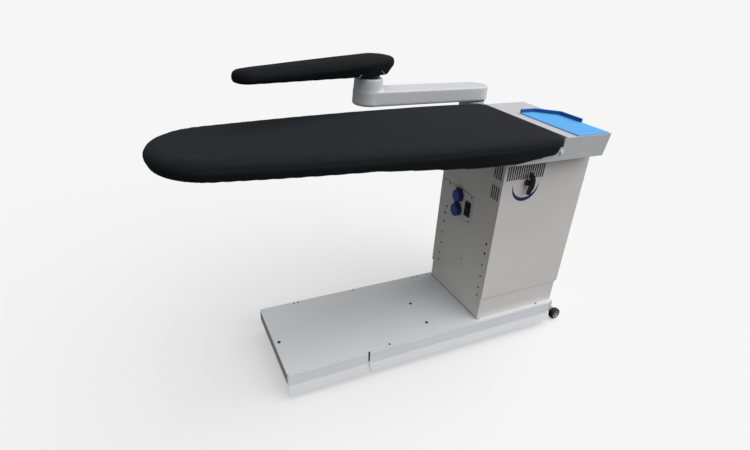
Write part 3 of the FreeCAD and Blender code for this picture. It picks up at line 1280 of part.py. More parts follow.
def make_cover_clips():
    """Two short wire clips on the near hem of the sleeve cover."""
    clips = []
    for side in ("left", "right"):
        clip = doc.addObject("PartDesign::Body", "clip")
        drawing = sketch(clip, "XZ_Plane", "clip_%s_y" % side)
        x, z, run, rise = ("clip_%s%s" % (side, end) for end in ("", "_z", "_run", "_rise"))
        ends = [("%s - %s" % (x, run), "%s - %s" % (z, rise)), ("%s + %s" % (x, run), "%s + %s" % (z, rise))]
        upper = [(ex, ez + " + clip_wire / 2") for ex, ez in ends]
        lower = [(ex, ez + " - clip_wire / 2") for ex, ez in ends]
        polygon(drawing, lower + upper[::-1])
        pad(clip, drawing, "clip_wire")
        clips.append(clip)
    on_arm(group(*clips), "cover_clips")


def sleeve_form(inset, top):
    """The sleeve board's block moved in by inset: upright sides that draw in below the waist."""
    lower = loft(sleeve_outline("sleeve_low", "sleeve_draw + %s" % inset),
                 sleeve_outline("sleeve_waist", inset))
    return fuse(sleeve_prism(inset, "sleeve_waist", top), lower)


def make_sleeve():
    pad_top = "sleeve_high - sleeve_top_wall"
    pan_top = pad_top + " - sleeve_pad_thick"
    pan = common(sleeve_form("sleeve_wall", pan_top), sleeve_side("0"))
    room = common(sleeve_form("sleeve_wall + sleeve_sheet", "sleeve_high"), sleeve_side("sleeve_sheet"))
    air = rod("boss_bore - swivel_wall", "2 * sleeve_sheet", z="sleeve_low")
    on_arm(cut(pan, room, air), "sleeve_pan")
    on_arm(sleeve_prism("sleeve_wall", pan_top, pad_top), "sleeve_pad")
    whole = common(sleeve_form("0", "sleeve_high"), sleeve_side("0"))
    soft = round_solid(whole, "sleeve_round", at_height("sleeve_high"))
    hollow = sleeve_form("sleeve_wall - fit_gap", pad_top + " + fit_gap")
    on_arm(cut(soft, hollow), "sleeve_cover")
    make_cover_clips()
    ring = body("sleeve_swivel")
    section = sketch(ring, "XZ_Plane")
    way, foot, seat = "boss_bore - swivel_wall", "boss_high - swivel_drop", "boss_high + seat_gap"
    polygon(section, [(way, foot), ("boss_bore", foot), ("boss_bore", seat), ("swivel_ring", seat),
                      ("swivel_ring", "sleeve_low"), (way, "sleeve_low")])
    revolve(ring, section)
    place(ring, "arm_boss_x", ARM_Y)


# Build everything, check it and write one file for each sub-part

def make_all():
    make_base_plate()
    make_cross_members()
    make_feet()
    make_pedal("blow_pedal", SHORT_PEDAL)
    make_pedal("suction_pedal", LONG_PEDAL)
    make_pedal_rod()
    make_pedal_switches()
    make_base_screws()
    make_wheel(-1, "near_wheel")
    make_wheel(1, "far_wheel")
    make_wheel_carriers()
    make_side_panel()
    make_plinth()
    make_column_cover()
    make_inner_apron()
    make_guide_rails()
    make_slide_posts()
    make_lift_crossbar()
    make_gas_spring()
    make_socket_hatch()
    for name, z in SOCKETS:
        make_socket(name, z)
        make_lid(name, z)
    make_switch()
    make_panel_screws()
    make_diverter()
    make_lever_handle()
    make_fan()
    make_impeller()
    make_arm_support()
    make_tray()
    make_iron_rest()
    make_board()
    make_arm()
    make_sleeve()


def centre_frame(piece):
    """Moves a finished sub-part so that the origin is under the middle of the whole table."""
    for axis, middle in (("x", MIDDLE_X), ("y", MIDDLE_Y)):
        key = "Placement.Base." + axis
        placed = [rule for name, rule in piece.ExpressionEngine if name.lstrip(".") == key]
        piece.setExpression(key, "%s - (%s)" % (placed[0] if placed else "0", cells(middle)))


def check_document():
    for thing in doc.Objects:
        if "Invalid" in thing.State or "Error" in thing.State:
            raise RuntimeError("%s failed: %s" % (thing.Label, thing.State))
    for piece in nodes:
        if piece.Shape.isNull() or not piece.Shape.isValid():
            raise RuntimeError("%s has no valid shape" % piece.Label)


make_all()
for piece in nodes:
    centre_frame(piece)
doc.recompute()
check_document()
os.makedirs("parts", exist_ok=True)
for piece in nodes:
    piece.Shape.exportStep("parts/%s.step" % piece.Label)
print("wrote %d sub-parts" % len(nodes))
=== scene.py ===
import json
import math

import bpy
from mathutils import Matrix, Vector

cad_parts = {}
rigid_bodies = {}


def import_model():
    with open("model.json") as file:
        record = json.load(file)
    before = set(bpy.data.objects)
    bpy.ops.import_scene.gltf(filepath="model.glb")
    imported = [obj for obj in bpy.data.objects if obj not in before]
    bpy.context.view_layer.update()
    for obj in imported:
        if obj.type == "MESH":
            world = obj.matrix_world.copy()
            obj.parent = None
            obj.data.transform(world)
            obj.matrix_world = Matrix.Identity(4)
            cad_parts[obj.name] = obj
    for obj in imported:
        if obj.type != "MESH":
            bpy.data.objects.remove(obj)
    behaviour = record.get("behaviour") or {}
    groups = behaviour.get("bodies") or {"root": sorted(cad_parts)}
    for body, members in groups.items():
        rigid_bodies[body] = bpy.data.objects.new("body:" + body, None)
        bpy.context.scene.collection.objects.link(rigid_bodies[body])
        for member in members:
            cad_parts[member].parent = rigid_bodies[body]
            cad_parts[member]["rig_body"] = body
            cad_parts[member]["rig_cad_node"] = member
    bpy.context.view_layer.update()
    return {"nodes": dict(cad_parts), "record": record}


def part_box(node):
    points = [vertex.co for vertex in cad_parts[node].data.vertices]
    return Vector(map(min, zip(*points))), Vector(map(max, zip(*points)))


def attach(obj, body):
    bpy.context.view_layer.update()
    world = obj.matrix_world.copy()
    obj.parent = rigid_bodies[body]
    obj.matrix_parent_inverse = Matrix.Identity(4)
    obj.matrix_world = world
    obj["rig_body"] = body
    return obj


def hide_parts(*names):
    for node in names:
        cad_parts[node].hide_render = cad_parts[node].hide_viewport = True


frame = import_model()
NODES = frame["nodes"]
BODY_OF = {node: body for body, members in frame["record"]["behaviour"]["bodies"].items() for node in members}
SLOT_OF = {row["node"]: row["material_slot"] for row in frame["record"]["subparts"]}

# Lengths are in metres and angles in degrees; only lens and sensor are in millimetres.

# The camera that the photograph was taken with
CAMERA_PLACE = Vector((-0.7409, -1.3996, 1.2656))
CAMERA_YAW, CAMERA_PITCH, CAMERA_ROLL = 26.90, 27.34, 3.73
CAMERA_LENS, CAMERA_SENSOR = 23.48, 36.0
CAMERA_REACH = 2000.0

# Light: where the key stands, and how bright sky and floor are to the camera and to the table
KEY_TOWARD = (0.46, -0.33, 0.825)
KEY_STRENGTH, KEY_WIDTH, KEY_HEIGHT = 3.05, 85, 3
SKY_SEEN, SKY_LIGHT = 0.93, 0.29
FLOOR_SIZE, FLOOR_DROP = 600, 0.0006
FLOOR_SEEN, FLOOR_GLOW, FLOOR_BOUNCE = 0.86, 0.91, 0.10
GLOW_SHARE = 0.5

# The floor doesn't glow under the base, from this far inside its left, right, near and far edges
PATCH_INSETS = (0.05, 0.03, 0.06, 0.03)

# The lamp that stands for the light thrown back by the floor, and how far it lies before the base
FILL_POWER, FILL_LENGTH, FILL_WIDTH = 0.6, 2.0, 0.5
FILL_AHEAD, FILL_HEIGHT = 0.45, 0.004

# Finishes as linear colours
COLUMN_GREY = (0.76, 0.745, 0.73)
# The panel grey is the column paint made a little darker, as painted shade on the column's left face and hatch
PANEL_GREY_SHADED = (0.74, 0.73, 0.71)
BASE_GREY = (0.71, 0.725, 0.735)
PEDAL_GREY = (0.87, 0.89, 0.92)
# The next two pedal colours are painted shade for the lips and a painted highlight for the upper edge
PEDAL_LIP_SHADE = (0.66, 0.675, 0.695)
PEDAL_HIGHLIGHT = (0.97, 0.97, 0.98)
TRAY_GREY = (0.58, 0.59, 0.61)
ARM_GREY = (0.67, 0.68, 0.705)
# Near-black painted shade, laid inside sheets, round vents and holes, in gaps and on pedal ends
PAINTED_SHADE = (0.004, 0.004, 0.004)
BLACK_PAINT_AND_SHADE = (0.003, 0.003, 0.003)
BLACK_OXIDE = (0.006, 0.006, 0.006)
ZINC = (0.82, 0.82, 0.83)
CHARCOAL_CLOTH = (0.0056, 0.0060, 0.0080)
SLEEVE_CLOTH_SHADED = (0.0038, 0.0041, 0.0056)
CLOTH_SHEEN = (0.88, 0.92, 1.0)
IRON_REST_BLUE = (0.105, 0.440, 0.910)
IRON_REST_RIM_SHADE = (0.010, 0.085, 0.310)
LID_BLUE = (0.050, 0.085, 0.420)
SOCKET_NAVY = (0.012, 0.020, 0.110)
PRINT_BLUE = (0.013, 0.032, 0.140)
BLACK_PLASTIC = (0.010, 0.010, 0.011)
TYRE_BLACK = (0.012, 0.012, 0.012)
HUB_GREY = (0.55, 0.56, 0.57)
STEEL = (0.56, 0.57, 0.58)
STEEL_SHADE_GREY = (0.05, 0.05, 0.05)
ALUMINIUM = (0.66, 0.67, 0.68)
FOAM = (0.52, 0.46, 0.36)

# Where the two tones of a mottled colour stand on the noise that mixes them
MOTTLE_STOPS = (0.35, 0.65)

# How deep an outer face of a sheet counts as such, and how thick the skin of a folded sheet is that keeps its paint
# outside the painted shade
FACE_DEPTH, PAINT_SKIN = 0.0004, 0.0008

# The crescent is a disc less another disc, each given as (drop below the lever's axis, radius)
CRESCENT_DISCS = ((0.013, 0.0575), (0.0005, 0.0565))

# Side panel: radius of the two large bolt heads, how far heads and open holes lie above the lowest bolt,
# and how wide the painted shade is round the holes and in the gaps at foot and hatch
BIG_HEAD, BIG_HEAD_RISE = 0.0065, 0.1354
WASHER_RING = (0.0042, 0.0080)
HOLE_RISES, HOLE_SHADE_RIM = (0.1854, 0.2234), 0.0050
FOOT_GAP_SHADE, HATCH_GAP_SHADE = 0.0022, 0.0013

# Vents: width of a slot, how far the painted shade reaches past it, and each row as
# (first slot from the sheet's left or near edge, pitch, count, head and foot below the sheet's top)
VENT_WIDTH, VENT_SHADE_RIM = 0.0046, 0.0006
FRONT_VENTS = (0.0127, 0.0095, 17, 0.0265, 0.0765)
SIDE_VENTS = ((0.0110, 0.0109, 4, 0.0215, 0.0715), (0.0110, 0.0109, 4, 0.0970, 0.1470))

# Width of the painted shade in the scallops round the socket lids, and inner and outer radius of the wheel hubs'
# groove
LID_RIM_SHADE = 0.0032
HUB_GROOVE = (0.0055, 0.0105)

# Height of the iron rest's flat part
REST_SHEET = 0.0045

# How a face leans along an axis where it takes painted shade as a pedal's lip, a pedal's end or the iron rest's
# inner rim
LIP_LEAN, END_LEAN, RIM_LEAN = 0.3, -0.7, -0.4

# Base plate: open holes as (from the left end, from the rear edge, radius of the painted shade round it)
BASE_HOLES = [(0.018, 0.205, 0.0062), (0.561, 0.172, 0.0062), (0.561, 0.298, 0.0062)]
BASE_HOLES += [(along, 0.007, 0.0036) for along in (0.131, 0.148, 0.382, 0.663, 0.6825, 0.734)]

# Pedals: width of the painted highlight along the upper edge, and how far the painted shade on the wall reaches
# behind the short and the long pedal
PEDAL_HIGHLIGHT_EDGE = 0.0022
BEHIND_SHORT, BEHIND_LONG = 0.001, 0.003

# Meshes: distance at which points are merged, and angles that count as flat, as an edge and as sharp
MERGED, FLAT, EDGE, SHARP = 0.00002, 0.4, 25, 35
NORMAL_WEIGHT = 90
SMOOTHING = 0.5

# Widths of the eased edges on the rigid pieces that show
EASED = {
    "base_plate": 0.0009, "suction_pedal": 0.0006, "blow_pedal": 0.0006, "side_panel": 0.0004,
    "plinth": 0.0004, "column_cover": 0.0004, "tray_shell": 0.0006, "iron_rest": 0.0012,
    "socket_hatch": 0.0005, "switch_housing": 0.0008, "switch_rocker": 0.0006, "lever_handle": 0.0010,
    "lid_upper": 0.0005, "lid_lower": 0.0005, "socket_upper": 0.0004, "socket_lower": 0.0004,
    "panel_screws": 0.0004, "tray_screws": 0.0008, "base_screws": 0.0005, "arm_bracket": 0.0010,
    "wheel_brackets": 0.0006, "near_wheel_tyre": 0.0012, "far_wheel_tyre": 0.0012,
    "near_wheel_hub": 0.0005, "far_wheel_hub": 0.0005, "foot_pads": 0.0012, "foot_studs": 0.0005,
    "cover_clips": 0.0006, "sleeve_swivel": 0.0008, "arm_post": 0.0008,
}

# The arm's skin and the foam's edge
ARM_VOXEL, ARM_PASSES = 0.0025, 5
FOAM_EDGE, FOAM_SEGMENTS = 0.0025, 3

# Covers as (voxel of the skin, how far it is filled out, height of the hem)
COVERS = {"board_cover": (0.006, 0.0025, 0.040), "sleeve_cover": (0.0035, 0.001, 0.025)}
COVER_PASSES = 2
PUCKER_DEPTH, PUCKER_SIZE = 0.002, 0.045

# Cloth run: steps, pressure, farthest move of a point, and the upward lean below which a face is held
CLOTH_FRAMES = 12
CLOTH_QUALITY, CLOTH_MASS = 4, 0.3
CLOTH_PRESSURE, CLOTH_MOVE = 4.0, 0.003
HELD_LEAN = -0.2

# Board cover: how far its crown may stand above the solid, under the swinging arm
CROWN_RISE = 0.0018

# Its hem: how far it stands out over the tray and hangs lower elsewhere, the height at which that begins and
# the stretch along which the tray takes over, as shares of the cover, and the stretch across in which it stands out
HEM_OUT, HEM_DROP = 0.014, 0.006
HEM_WAIST = 0.6
TRAY_SPAN = (0.70, 0.82)
OUT_SPAN = (0.10, 0.16)


# Handling objects

def pick(piece):
    """Leaves one object selected and active."""
    if bpy.context.object and bpy.context.object.mode != "OBJECT":
        bpy.ops.object.mode_set(mode="OBJECT")
    bpy.ops.object.select_all(action="DESELECT")
    piece.hide_viewport = False
    piece.select_set(True)
    bpy.context.view_layer.objects.active = piece


def lift_off(node):
    """A merged copy of a solid, to be dressed, riding where the solid rides."""
    pick(NODES[node])
    bpy.ops.object.duplicate()
    piece = bpy.context.object
    piece.name = node + "_piece"
    piece.data.name = piece.name
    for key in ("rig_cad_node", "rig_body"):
        del piece[key]
    bpy.ops.object.mode_set(mode="EDIT")
    bpy.ops.mesh.select_all(action="SELECT")
    bpy.ops.mesh.remove_doubles(threshold=MERGED)
    bpy.ops.object.mode_set(mode="OBJECT")
    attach(piece, BODY_OF[node])
    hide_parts(node)
    return piece


def join_flat_faces(piece):
    pick(piece)
    bpy.ops.object.mode_set(mode="EDIT")
    bpy.ops.mesh.select_all(action="SELECT")
    bpy.ops.mesh.dissolve_limited(angle_limit=math.radians(FLAT))
    bpy.ops.object.mode_set(mode="OBJECT")


def add_and_apply(piece, kind, **settings):
    pick(piece)
    modifier = piece.modifiers.new(kind.lower(), kind)
    for name, value in settings.items():
        setattr(modifier, name, value)
    bpy.ops.object.modifier_apply(modifier=modifier.name)


def ease_edges(piece, width, segments=2):
    join_flat_faces(piece)
    add_and_apply(piece, "BEVEL", width=width, segments=segments, limit_method="ANGLE",
                  angle_limit=math.radians(EDGE))
    pick(piece)
    bpy.ops.object.shade_smooth_by_angle(angle=math.radians(SHARP))
    add_and_apply(piece, "WEIGHTED_NORMAL", keep_sharp=True, weight=NORMAL_WEIGHT)


def soften(piece, voxel, passes):
    """Gives a piece an even skin with softly rounded corners."""
    add_and_apply(piece, "REMESH", mode="VOXEL", voxel_size=voxel)
    add_and_apply(piece, "SMOOTH", factor=SMOOTHING, iterations=passes)
    pick(piece)
    bpy.ops.object.shade_smooth()


# Finishes

class Finish:
    """A material under construction: a principled shader, and a tree to add nodes to."""

    def __init__(self, name, colour, roughness, metallic=0.0):
        self.material = bpy.data.materials.new(name)
        self.material.use_nodes = True
        self.tree = self.material.node_tree
        self.shader = self.tree.nodes["Principled BSDF"]
        self.colour = colour
        self.feed(self.shader, {"Base Color": (*colour, 1), "Roughness": roughness, "Metallic": metallic})
        self.coordinates = self.node("TexCoord")
        self.place = self.coordinates.outputs["Object"]

    def feed(self, node, inputs):
        """Gives a node's inputs, by name or number, a fixed value or the output of another node."""
        for key, value in inputs.items():
            if isinstance(value, bpy.types.NodeSocket):
                self.tree.links.new(value, node.inputs[key])
            else:
                node.inputs[key].default_value = value

    def node(self, kind, inputs=None, **settings):
        made = self.tree.nodes.new("ShaderNode" + kind)
        for name, value in settings.items():
            setattr(made, name, value)
        self.feed(made, inputs or {})
        return made

    def calc(self, operation, *values):
        """The result of one step of arithmetic."""
        return self.node("Math", dict(enumerate(values)), operation=operation).outputs[0]

    def below(self, value, limit):
        return self.calc("LESS_THAN", value, limit)

    def above(self, value, limit):
        return self.calc("GREATER_THAN", value, limit)

    def product(self, first, *others):
        """1 where all the masks are 1."""
        for mask in others:
            first = self.calc("MULTIPLY", first, mask)
        return first

    def within(self, value, low, high):
        """1 where a value lies between two limits."""
        return self.product(self.above(value, low), self.below(value, high))

    def at(self):
        """The three coordinates of the place on the piece."""
        return self.node("SeparateXYZ", {0: self.place}).outputs

    def facing(self):
        """The three parts of the surface's direction."""
        return self.node("SeparateXYZ", {0: self.coordinates.outputs["Normal"]}).outputs

    def inside(self, **limits):
        """1 where each named coordinate lies between its two limits."""
        place = self.at()
        return self.product(*[self.within(place[axis], *pair) for axis, pair in limits.items()])

    def distance(self, plane, centre):
        """Distance from a point in the plane of two axes, such as XZ."""
        place = self.at()
        steps = [self.calc("SUBTRACT", place[axis], middle) for axis, middle in zip(plane, centre)]
        squares = [self.calc("MULTIPLY", step, step) for step in steps]
        return self.calc("SQRT", self.calc("ADD", *squares))

    def noise(self, scale, detail=3.0, place=None):
        inputs = {"Vector": place or self.place, "Scale": scale, "Detail": detail}
        return self.node("TexNoise", inputs).outputs["Fac"]

    def stretched(self, scale):
        return self.node("Mapping", {"Vector": self.place, "Scale": scale}).outputs["Vector"]

    def bump(self, height, strength, distance):
        made = self.node("Bump", {"Height": height, "Strength": strength, "Distance": distance})
        self.feed(self.shader, {"Normal": made.outputs["Normal"]})

    def mottle(self, mix, drift):
        """Lets the colour drift a little either way over the surface."""
        ramp = self.node("ValToRGB", {"Fac": mix})
        for stop, position, step in zip(ramp.color_ramp.elements, MOTTLE_STOPS, (1 - drift, 1 + drift)):
            stop.position = position
            stop.color = (*[min(1.0, value * step) for value in self.colour], 1)
        self.feed(self.shader, {"Base Color": ramp.outputs["Color"]})

    def coat(self, mask, colour):
        """Lays another colour over what is there where the mask is 1."""
        before = self.shader.inputs["Base Color"].links[0].from_socket
        mix = self.node("Mix", {"Factor": mask, "A": before, "B": (*colour, 1)}, data_type="RGBA")
        self.feed(self.shader, {"Base Color": mix.outputs["Result"]})


def powder_coat(name, colour):
    """Satin sprayed paint with a fine orange-peel skin."""
    finish = Finish(name, colour, roughness=0.46)
    finish.feed(finish.shader, {"Specular IOR Level": 0.4})
    finish.mottle(finish.noise(5.0), drift=0.018)
    finish.bump(finish.noise(1100.0, detail=2.0), strength=0.10, distance=0.00015)
    return finish


def moulded(name, colour, roughness, grain=800.0, strength=0.06):
    """Plastic or rubber from a mould with a fine grain."""
    finish = Finish(name, colour, roughness)
    finish.mottle(finish.noise(30.0), drift=0.05)
    finish.bump(finish.noise(grain, detail=2.0), strength, distance=0.0002)
    return finish


def bare_metal(name, colour, roughness):
    """Drawn metal with faint lines along Z."""
    finish = Finish(name, colour, roughness, metallic=1.0)
    finish.mottle(finish.noise(40.0, place=finish.stretched((60, 60, 1.5))), drift=0.06)
    finish.bump(finish.noise(50.0, place=finish.stretched((90, 90, 2))), strength=0.05, distance=0.0001)
    return finish


def soft_foam(name, colour):
    finish = Finish(name, colour, roughness=0.95)
    finish.mottle(finish.noise(25.0), drift=0.1)
    finish.bump(finish.noise(500.0, detail=4.0), strength=0.5, distance=0.0006)
    return finish


def woven_cover(name, colour, shine):
    """Close plain-weave cotton, matt, with a little lint."""
    finish = Finish(name, colour, roughness=0.88)
    finish.feed(finish.shader, {"Specular IOR Level": shine, "Specular Tint": (*CLOTH_SHEEN, 1)})
    thread = {"Vector": finish.place, "Scale": 420.0, "Distortion": 0.6}
    weave = finish.calc("MAXIMUM", *[
        finish.node("TexWave", thread, wave_type="BANDS", bands_direction=direction).outputs["Fac"]
        for direction in "XY"])
    finish.mottle(finish.noise(60.0, detail=6.0), drift=0.22)
    finish.bump(finish.calc("ADD", weave, finish.noise(24.0, detail=4.0)), strength=0.30, distance=0.0004)
    return finish


def shade_inside(finish, node):
    """Paints near-black shade on the inner sides of a folded sheet, so that its slots look into the dark."""
    low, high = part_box(node)
    limits = {axis: (start + PAINT_SKIN, end - PAINT_SKIN) for axis, start, end in zip("XYZ", low, high)}
    finish.coat(finish.inside(**limits), PAINTED_SHADE)
    return finish


def vent_shade(finish, along, edge, top, row):
    """1 on a row of slots and close round them, where the paint takes painted shade."""
    first, pitch, count, head, foot = row
    start = edge + first - VENT_SHADE_RIM
    step = finish.calc("MODULO", finish.calc("SUBTRACT", along, start), pitch)
    slot = finish.below(step, VENT_WIDTH + 2 * VENT_SHADE_RIM)
    length = finish.within(along, start, start + count * pitch)
    height = finish.inside(Z=(top - foot - VENT_SHADE_RIM, top - head + VENT_SHADE_RIM))
    return finish.product(slot, length, height)


def middle_of(node):
    low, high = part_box(node)
    return (low + high) / 2


def column_front(name):
    """The sprayed column, with painted shade inside and round its vents, and a plain crescent printed round the
    lever.
    """
    finish = shade_inside(powder_coat(name, COLUMN_GREY), "column_cover")
    low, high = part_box("column_cover")
    place = finish.at()
    front = finish.below(place["Y"], low.y + FACE_DEPTH)
    vents = vent_shade(finish, place["X"], low.x, high.z, FRONT_VENTS)
    # Painted shade in and round the front vents
    finish.coat(finish.product(front, vents), PAINTED_SHADE)
    lever = middle_of("diverter_shaft")
    outer, inner = [finish.below(finish.distance("XZ", (lever.x, lever.z - drop)), radius)
                    for drop, radius in CRESCENT_DISCS]
    crescent = finish.calc("SUBTRACT", outer, finish.product(outer, inner))
    finish.coat(finish.product(front, crescent), PRINT_BLUE)
    return finish


def bolt_rows():
    """The height of the lowest bolts on the side panel, and the two rows in which they stand."""
    low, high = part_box("panel_screws")
    return low.z, (low.y + BIG_HEAD, high.y - BIG_HEAD)


def socket_side(name):
    """The panel with the sockets, with painted shade inside, round its vents and open holes, and in the gaps at
    foot and hatch.
    """
    finish = shade_inside(powder_coat(name, PANEL_GREY_SHADED), "side_panel")
    low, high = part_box("side_panel")
    place = finish.at()
    # Painted shade in the gap at the panel's foot
    finish.coat(finish.below(place["Z"], low.z + FOOT_GAP_SHADE), PAINTED_SHADE)
    for row in SIDE_VENTS:
        finish.coat(vent_shade(finish, place["Y"], low.y, high.z, row), PAINTED_SHADE)
    lowest, rows = bolt_rows()
    for y in rows:
        for rise in HOLE_RISES:
            finish.coat(finish.below(finish.distance("YZ", (y, lowest + rise)), HOLE_SHADE_RIM), PAINTED_SHADE)
    # Painted shade in the gap round the hatch
    low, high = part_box("socket_hatch")
    gap_shade = finish.inside(Y=(low.y - HATCH_GAP_SHADE, high.y + HATCH_GAP_SHADE),
                          Z=(low.z - HATCH_GAP_SHADE, high.z + HATCH_GAP_SHADE))
    finish.coat(gap_shade, PAINTED_SHADE)
    return finish


def panel_bolts(name):
    """Blackened screws, and pale washers' rims on the two large heads."""
    finish = moulded(name, BLACK_OXIDE, 0.6)
    lowest, rows = bolt_rows()
    for y in rows:
        distance = finish.distance("YZ", (y, lowest + BIG_HEAD_RISE))
        finish.coat(finish.within(distance, *WASHER_RING), ZINC)
    return finish


def base_paint(name):
    """The sprayed base, with painted shade round its open holes and on the wall behind the gap between the pedals.
    """
    finish = powder_coat(name, BASE_GREY)
    low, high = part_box("base_plate")
    # Painted shade round the open holes
    for along, back, rim in BASE_HOLES:
        distance = finish.distance("XY", (low.x + along, high.y - back))
        finish.coat(finish.below(distance, rim), PAINTED_SHADE)
    # Painted shade on the wall behind the gap between the pedals
    place = finish.at()
    gap = finish.within(place["X"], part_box("blow_pedal")[1].x - BEHIND_SHORT,
                        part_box("suction_pedal")[0].x + BEHIND_LONG)
    wall = finish.below(place["Y"], low.y + FACE_DEPTH)
    finish.coat(finish.product(gap, wall), PAINTED_SHADE)
    return finish


def pedal_paint(name):
    """Pale paint with a painted highlight along the upper edge, darker up-facing lips as painted shade against the
    extra light they catch, and painted shade on the ends.
    """
    finish = powder_coat(name, PEDAL_GREY)
    low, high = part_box("suction_pedal")
    height, facing = finish.at()["Z"], finish.facing()
    lip = finish.product(finish.above(facing["Z"], LIP_LEAN), finish.below(height, (low.z + high.z) / 2))
    # Painted shade on the up-facing lips
    finish.coat(lip, PEDAL_LIP_SHADE)
    # Painted highlight along the upper edge
    finish.coat(finish.above(height, high.z - PEDAL_HIGHLIGHT_EDGE), PEDAL_HIGHLIGHT)
    # Painted shade on the ends, so the gap between the pedals reads dark
    finish.coat(finish.below(facing["X"], END_LEAN), PAINTED_SHADE)
    return finish


def lid_plastic(name, node):
    """A blue lid, with painted shade in the scallops of its rim."""
    finish = moulded(name, LID_BLUE, 0.4)
    low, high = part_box(node)
    radius = (high.y - low.y) / 2
    distance = finish.distance("YZ", (low.y + radius, low.z + radius))
    # Painted shade in the scallops
    finish.coat(finish.above(distance, radius - LID_RIM_SHADE), SOCKET_NAVY)
    return finish


def wheel_hub(name, node):
    """A pale rim and axle cap with a dark groove between them."""
    finish = moulded(name, HUB_GREY, 0.45)
    axle = middle_of(node)
    finish.coat(finish.within(finish.distance("XZ", (axle.x, axle.z)), *HUB_GROOVE), BLACK_PLASTIC)
    return finish


def iron_rest_rubber(name):
    """Silicone with painted shade, a deeper blue, on the rim's inner sides."""
    finish = moulded(name, IRON_REST_BLUE, 0.5, grain=350.0, strength=0.12)
    facing = finish.facing()
    inward = finish.calc("MAXIMUM", *[finish.below(facing[axis], RIM_LEAN) for axis in "XY"])
    raised = finish.above(finish.at()["Z"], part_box("iron_rest")[0].z + REST_SHEET)
    # Painted shade on the rim's inner sides
    finish.coat(finish.product(inward, raised), IRON_REST_RIM_SHADE)
    return finish


FINISHES = {
    "grey_paint": powder_coat("tray_paint", TRAY_GREY),
    "steel": bare_metal("drawn_steel", STEEL, 0.34),
    # Near-black and matt: the inner pieces' black paint, made darker still as painted shade so the vents look into
    # the dark
    "black_paint": moulded("black_paint", BLACK_PAINT_AND_SHADE, 0.9),
    "foot_rubber": moulded("foot_rubber", TYRE_BLACK, 0.7),
    "tyre_rubber": moulded("tyre_rubber", TYRE_BLACK, 0.6),
    "hub_plastic": moulded("hub_plastic", HUB_GREY, 0.45),
    "black_plastic": moulded("black_plastic", BLACK_PLASTIC, 0.38),
    "navy_plastic": moulded("socket_navy", SOCKET_NAVY, 0.36),
    "aluminium": bare_metal("aluminium", ALUMINIUM, 0.42),
    "foam": soft_foam("pad_foam", FOAM),
    "black_fabric": woven_cover("charcoal_cotton", CHARCOAL_CLOTH, 0.34),
    "blue_silicone": iron_rest_rubber("iron_rest_silicone"),
}
PEDAL_PAINT = pedal_paint("pedal_paint")
ARM_PAINT = powder_coat("arm_paint", ARM_GREY)
# Near-black steel as painted shade, so the holes in the side panel look into the dark
STEEL_PAINTED_SHADE = bare_metal("shaded_steel", STEEL_SHADE_GREY, 0.5)
SPECIAL = {
    "column_cover": column_front("column_paint"),
    "plinth": shade_inside(powder_coat("plinth_paint", COLUMN_GREY), "plinth"),
    "side_panel": socket_side("panel_paint"),
    "panel_screws": panel_bolts("black_oxide"),
    "base_screws": moulded("base_screw_black", BLACK_OXIDE, 0.6),
    # Pale zinc heads, made pale and non-metallic as a painted highlight
    "tray_screws": moulded("zinc_painted_highlight", ZINC, 0.3),
    # The board's cotton made darker as painted shade on the sleeve
    "sleeve_cover": woven_cover("sleeve_cotton_shaded", SLEEVE_CLOTH_SHADED, 0.24),
    "socket_hatch": powder_coat("hatch_paint", PANEL_GREY_SHADED),
    "base_plate": base_paint("base_paint"),
    "suction_pedal": PEDAL_PAINT, "blow_pedal": PEDAL_PAINT,
    "arm_shell": ARM_PAINT, "arm_underside": ARM_PAINT, "arm_post": ARM_PAINT,
    "guide_rails": STEEL_PAINTED_SHADE, "slide_posts": STEEL_PAINTED_SHADE,
    "lid_upper": lid_plastic("lid_upper_blue", "lid_upper"),
    "lid_lower": lid_plastic("lid_lower_blue", "lid_lower"),
    "near_wheel_hub": wheel_hub("near_hub", "near_wheel_hub"),
    "far_wheel_hub": wheel_hub("far_hub", "far_wheel_hub"),
}


def paint(piece, node):
    finish = SPECIAL.get(node) or FINISHES[SLOT_OF[node]]
    piece.data.materials.clear()
    piece.data.materials.append(finish.material)


# Rigid pieces

def dress_rigid_pieces():
    for node, width in EASED.items():
        piece = lift_off(node)
        ease_edges(piece, width)
        paint(piece, node)


def cast_arm():
    """The arm's casting, whose boss runs into the arm without an edge."""
    piece = lift_off("arm_shell")
    soften(piece, ARM_VOXEL, ARM_PASSES)
    paint(piece, "arm_shell")


# Soft pieces: the two fitted covers and the foam under them

def share_between(value, start, end):
    """How far a value has come from a start to an end, from 0 to 1."""
    return min(1.0, max(0.0, (value - start) / (end - start)))


def swell(piece):
    """A short cloth run in which the cover fills out over its foam while hem and lining are held."""
    start = [vertex.co.copy() for vertex in piece.data.vertices]
    held = piece.vertex_groups.new(name="held")
    for vertex in piece.data.vertices:
        held.add([vertex.index], 1.0 if vertex.normal.z < HELD_LEAN else 0.0, "REPLACE")
    pick(piece)
    cloth = piece.modifiers.new("cloth", "CLOTH")
    cloth.settings.quality = CLOTH_QUALITY
    cloth.settings.mass = CLOTH_MASS
    cloth.settings.vertex_group_mass = "held"
    cloth.settings.use_pressure = True
    cloth.settings.uniform_pressure_force = CLOTH_PRESSURE
    cloth.settings.effector_weights.gravity = 0.0
    cloth.point_cache.frame_end = CLOTH_FRAMES
    for moment in range(1, CLOTH_FRAMES + 1):
        bpy.context.scene.frame_set(moment)
    bpy.ops.object.modifier_apply(modifier=cloth.name)
    bpy.context.scene.frame_set(1)
    for vertex, place in zip(piece.data.vertices, start):
        move = vertex.co - place
        if move.length > CLOTH_MOVE:
            vertex.co = place + move * (CLOTH_MOVE / move.length)
    piece.vertex_groups.clear()


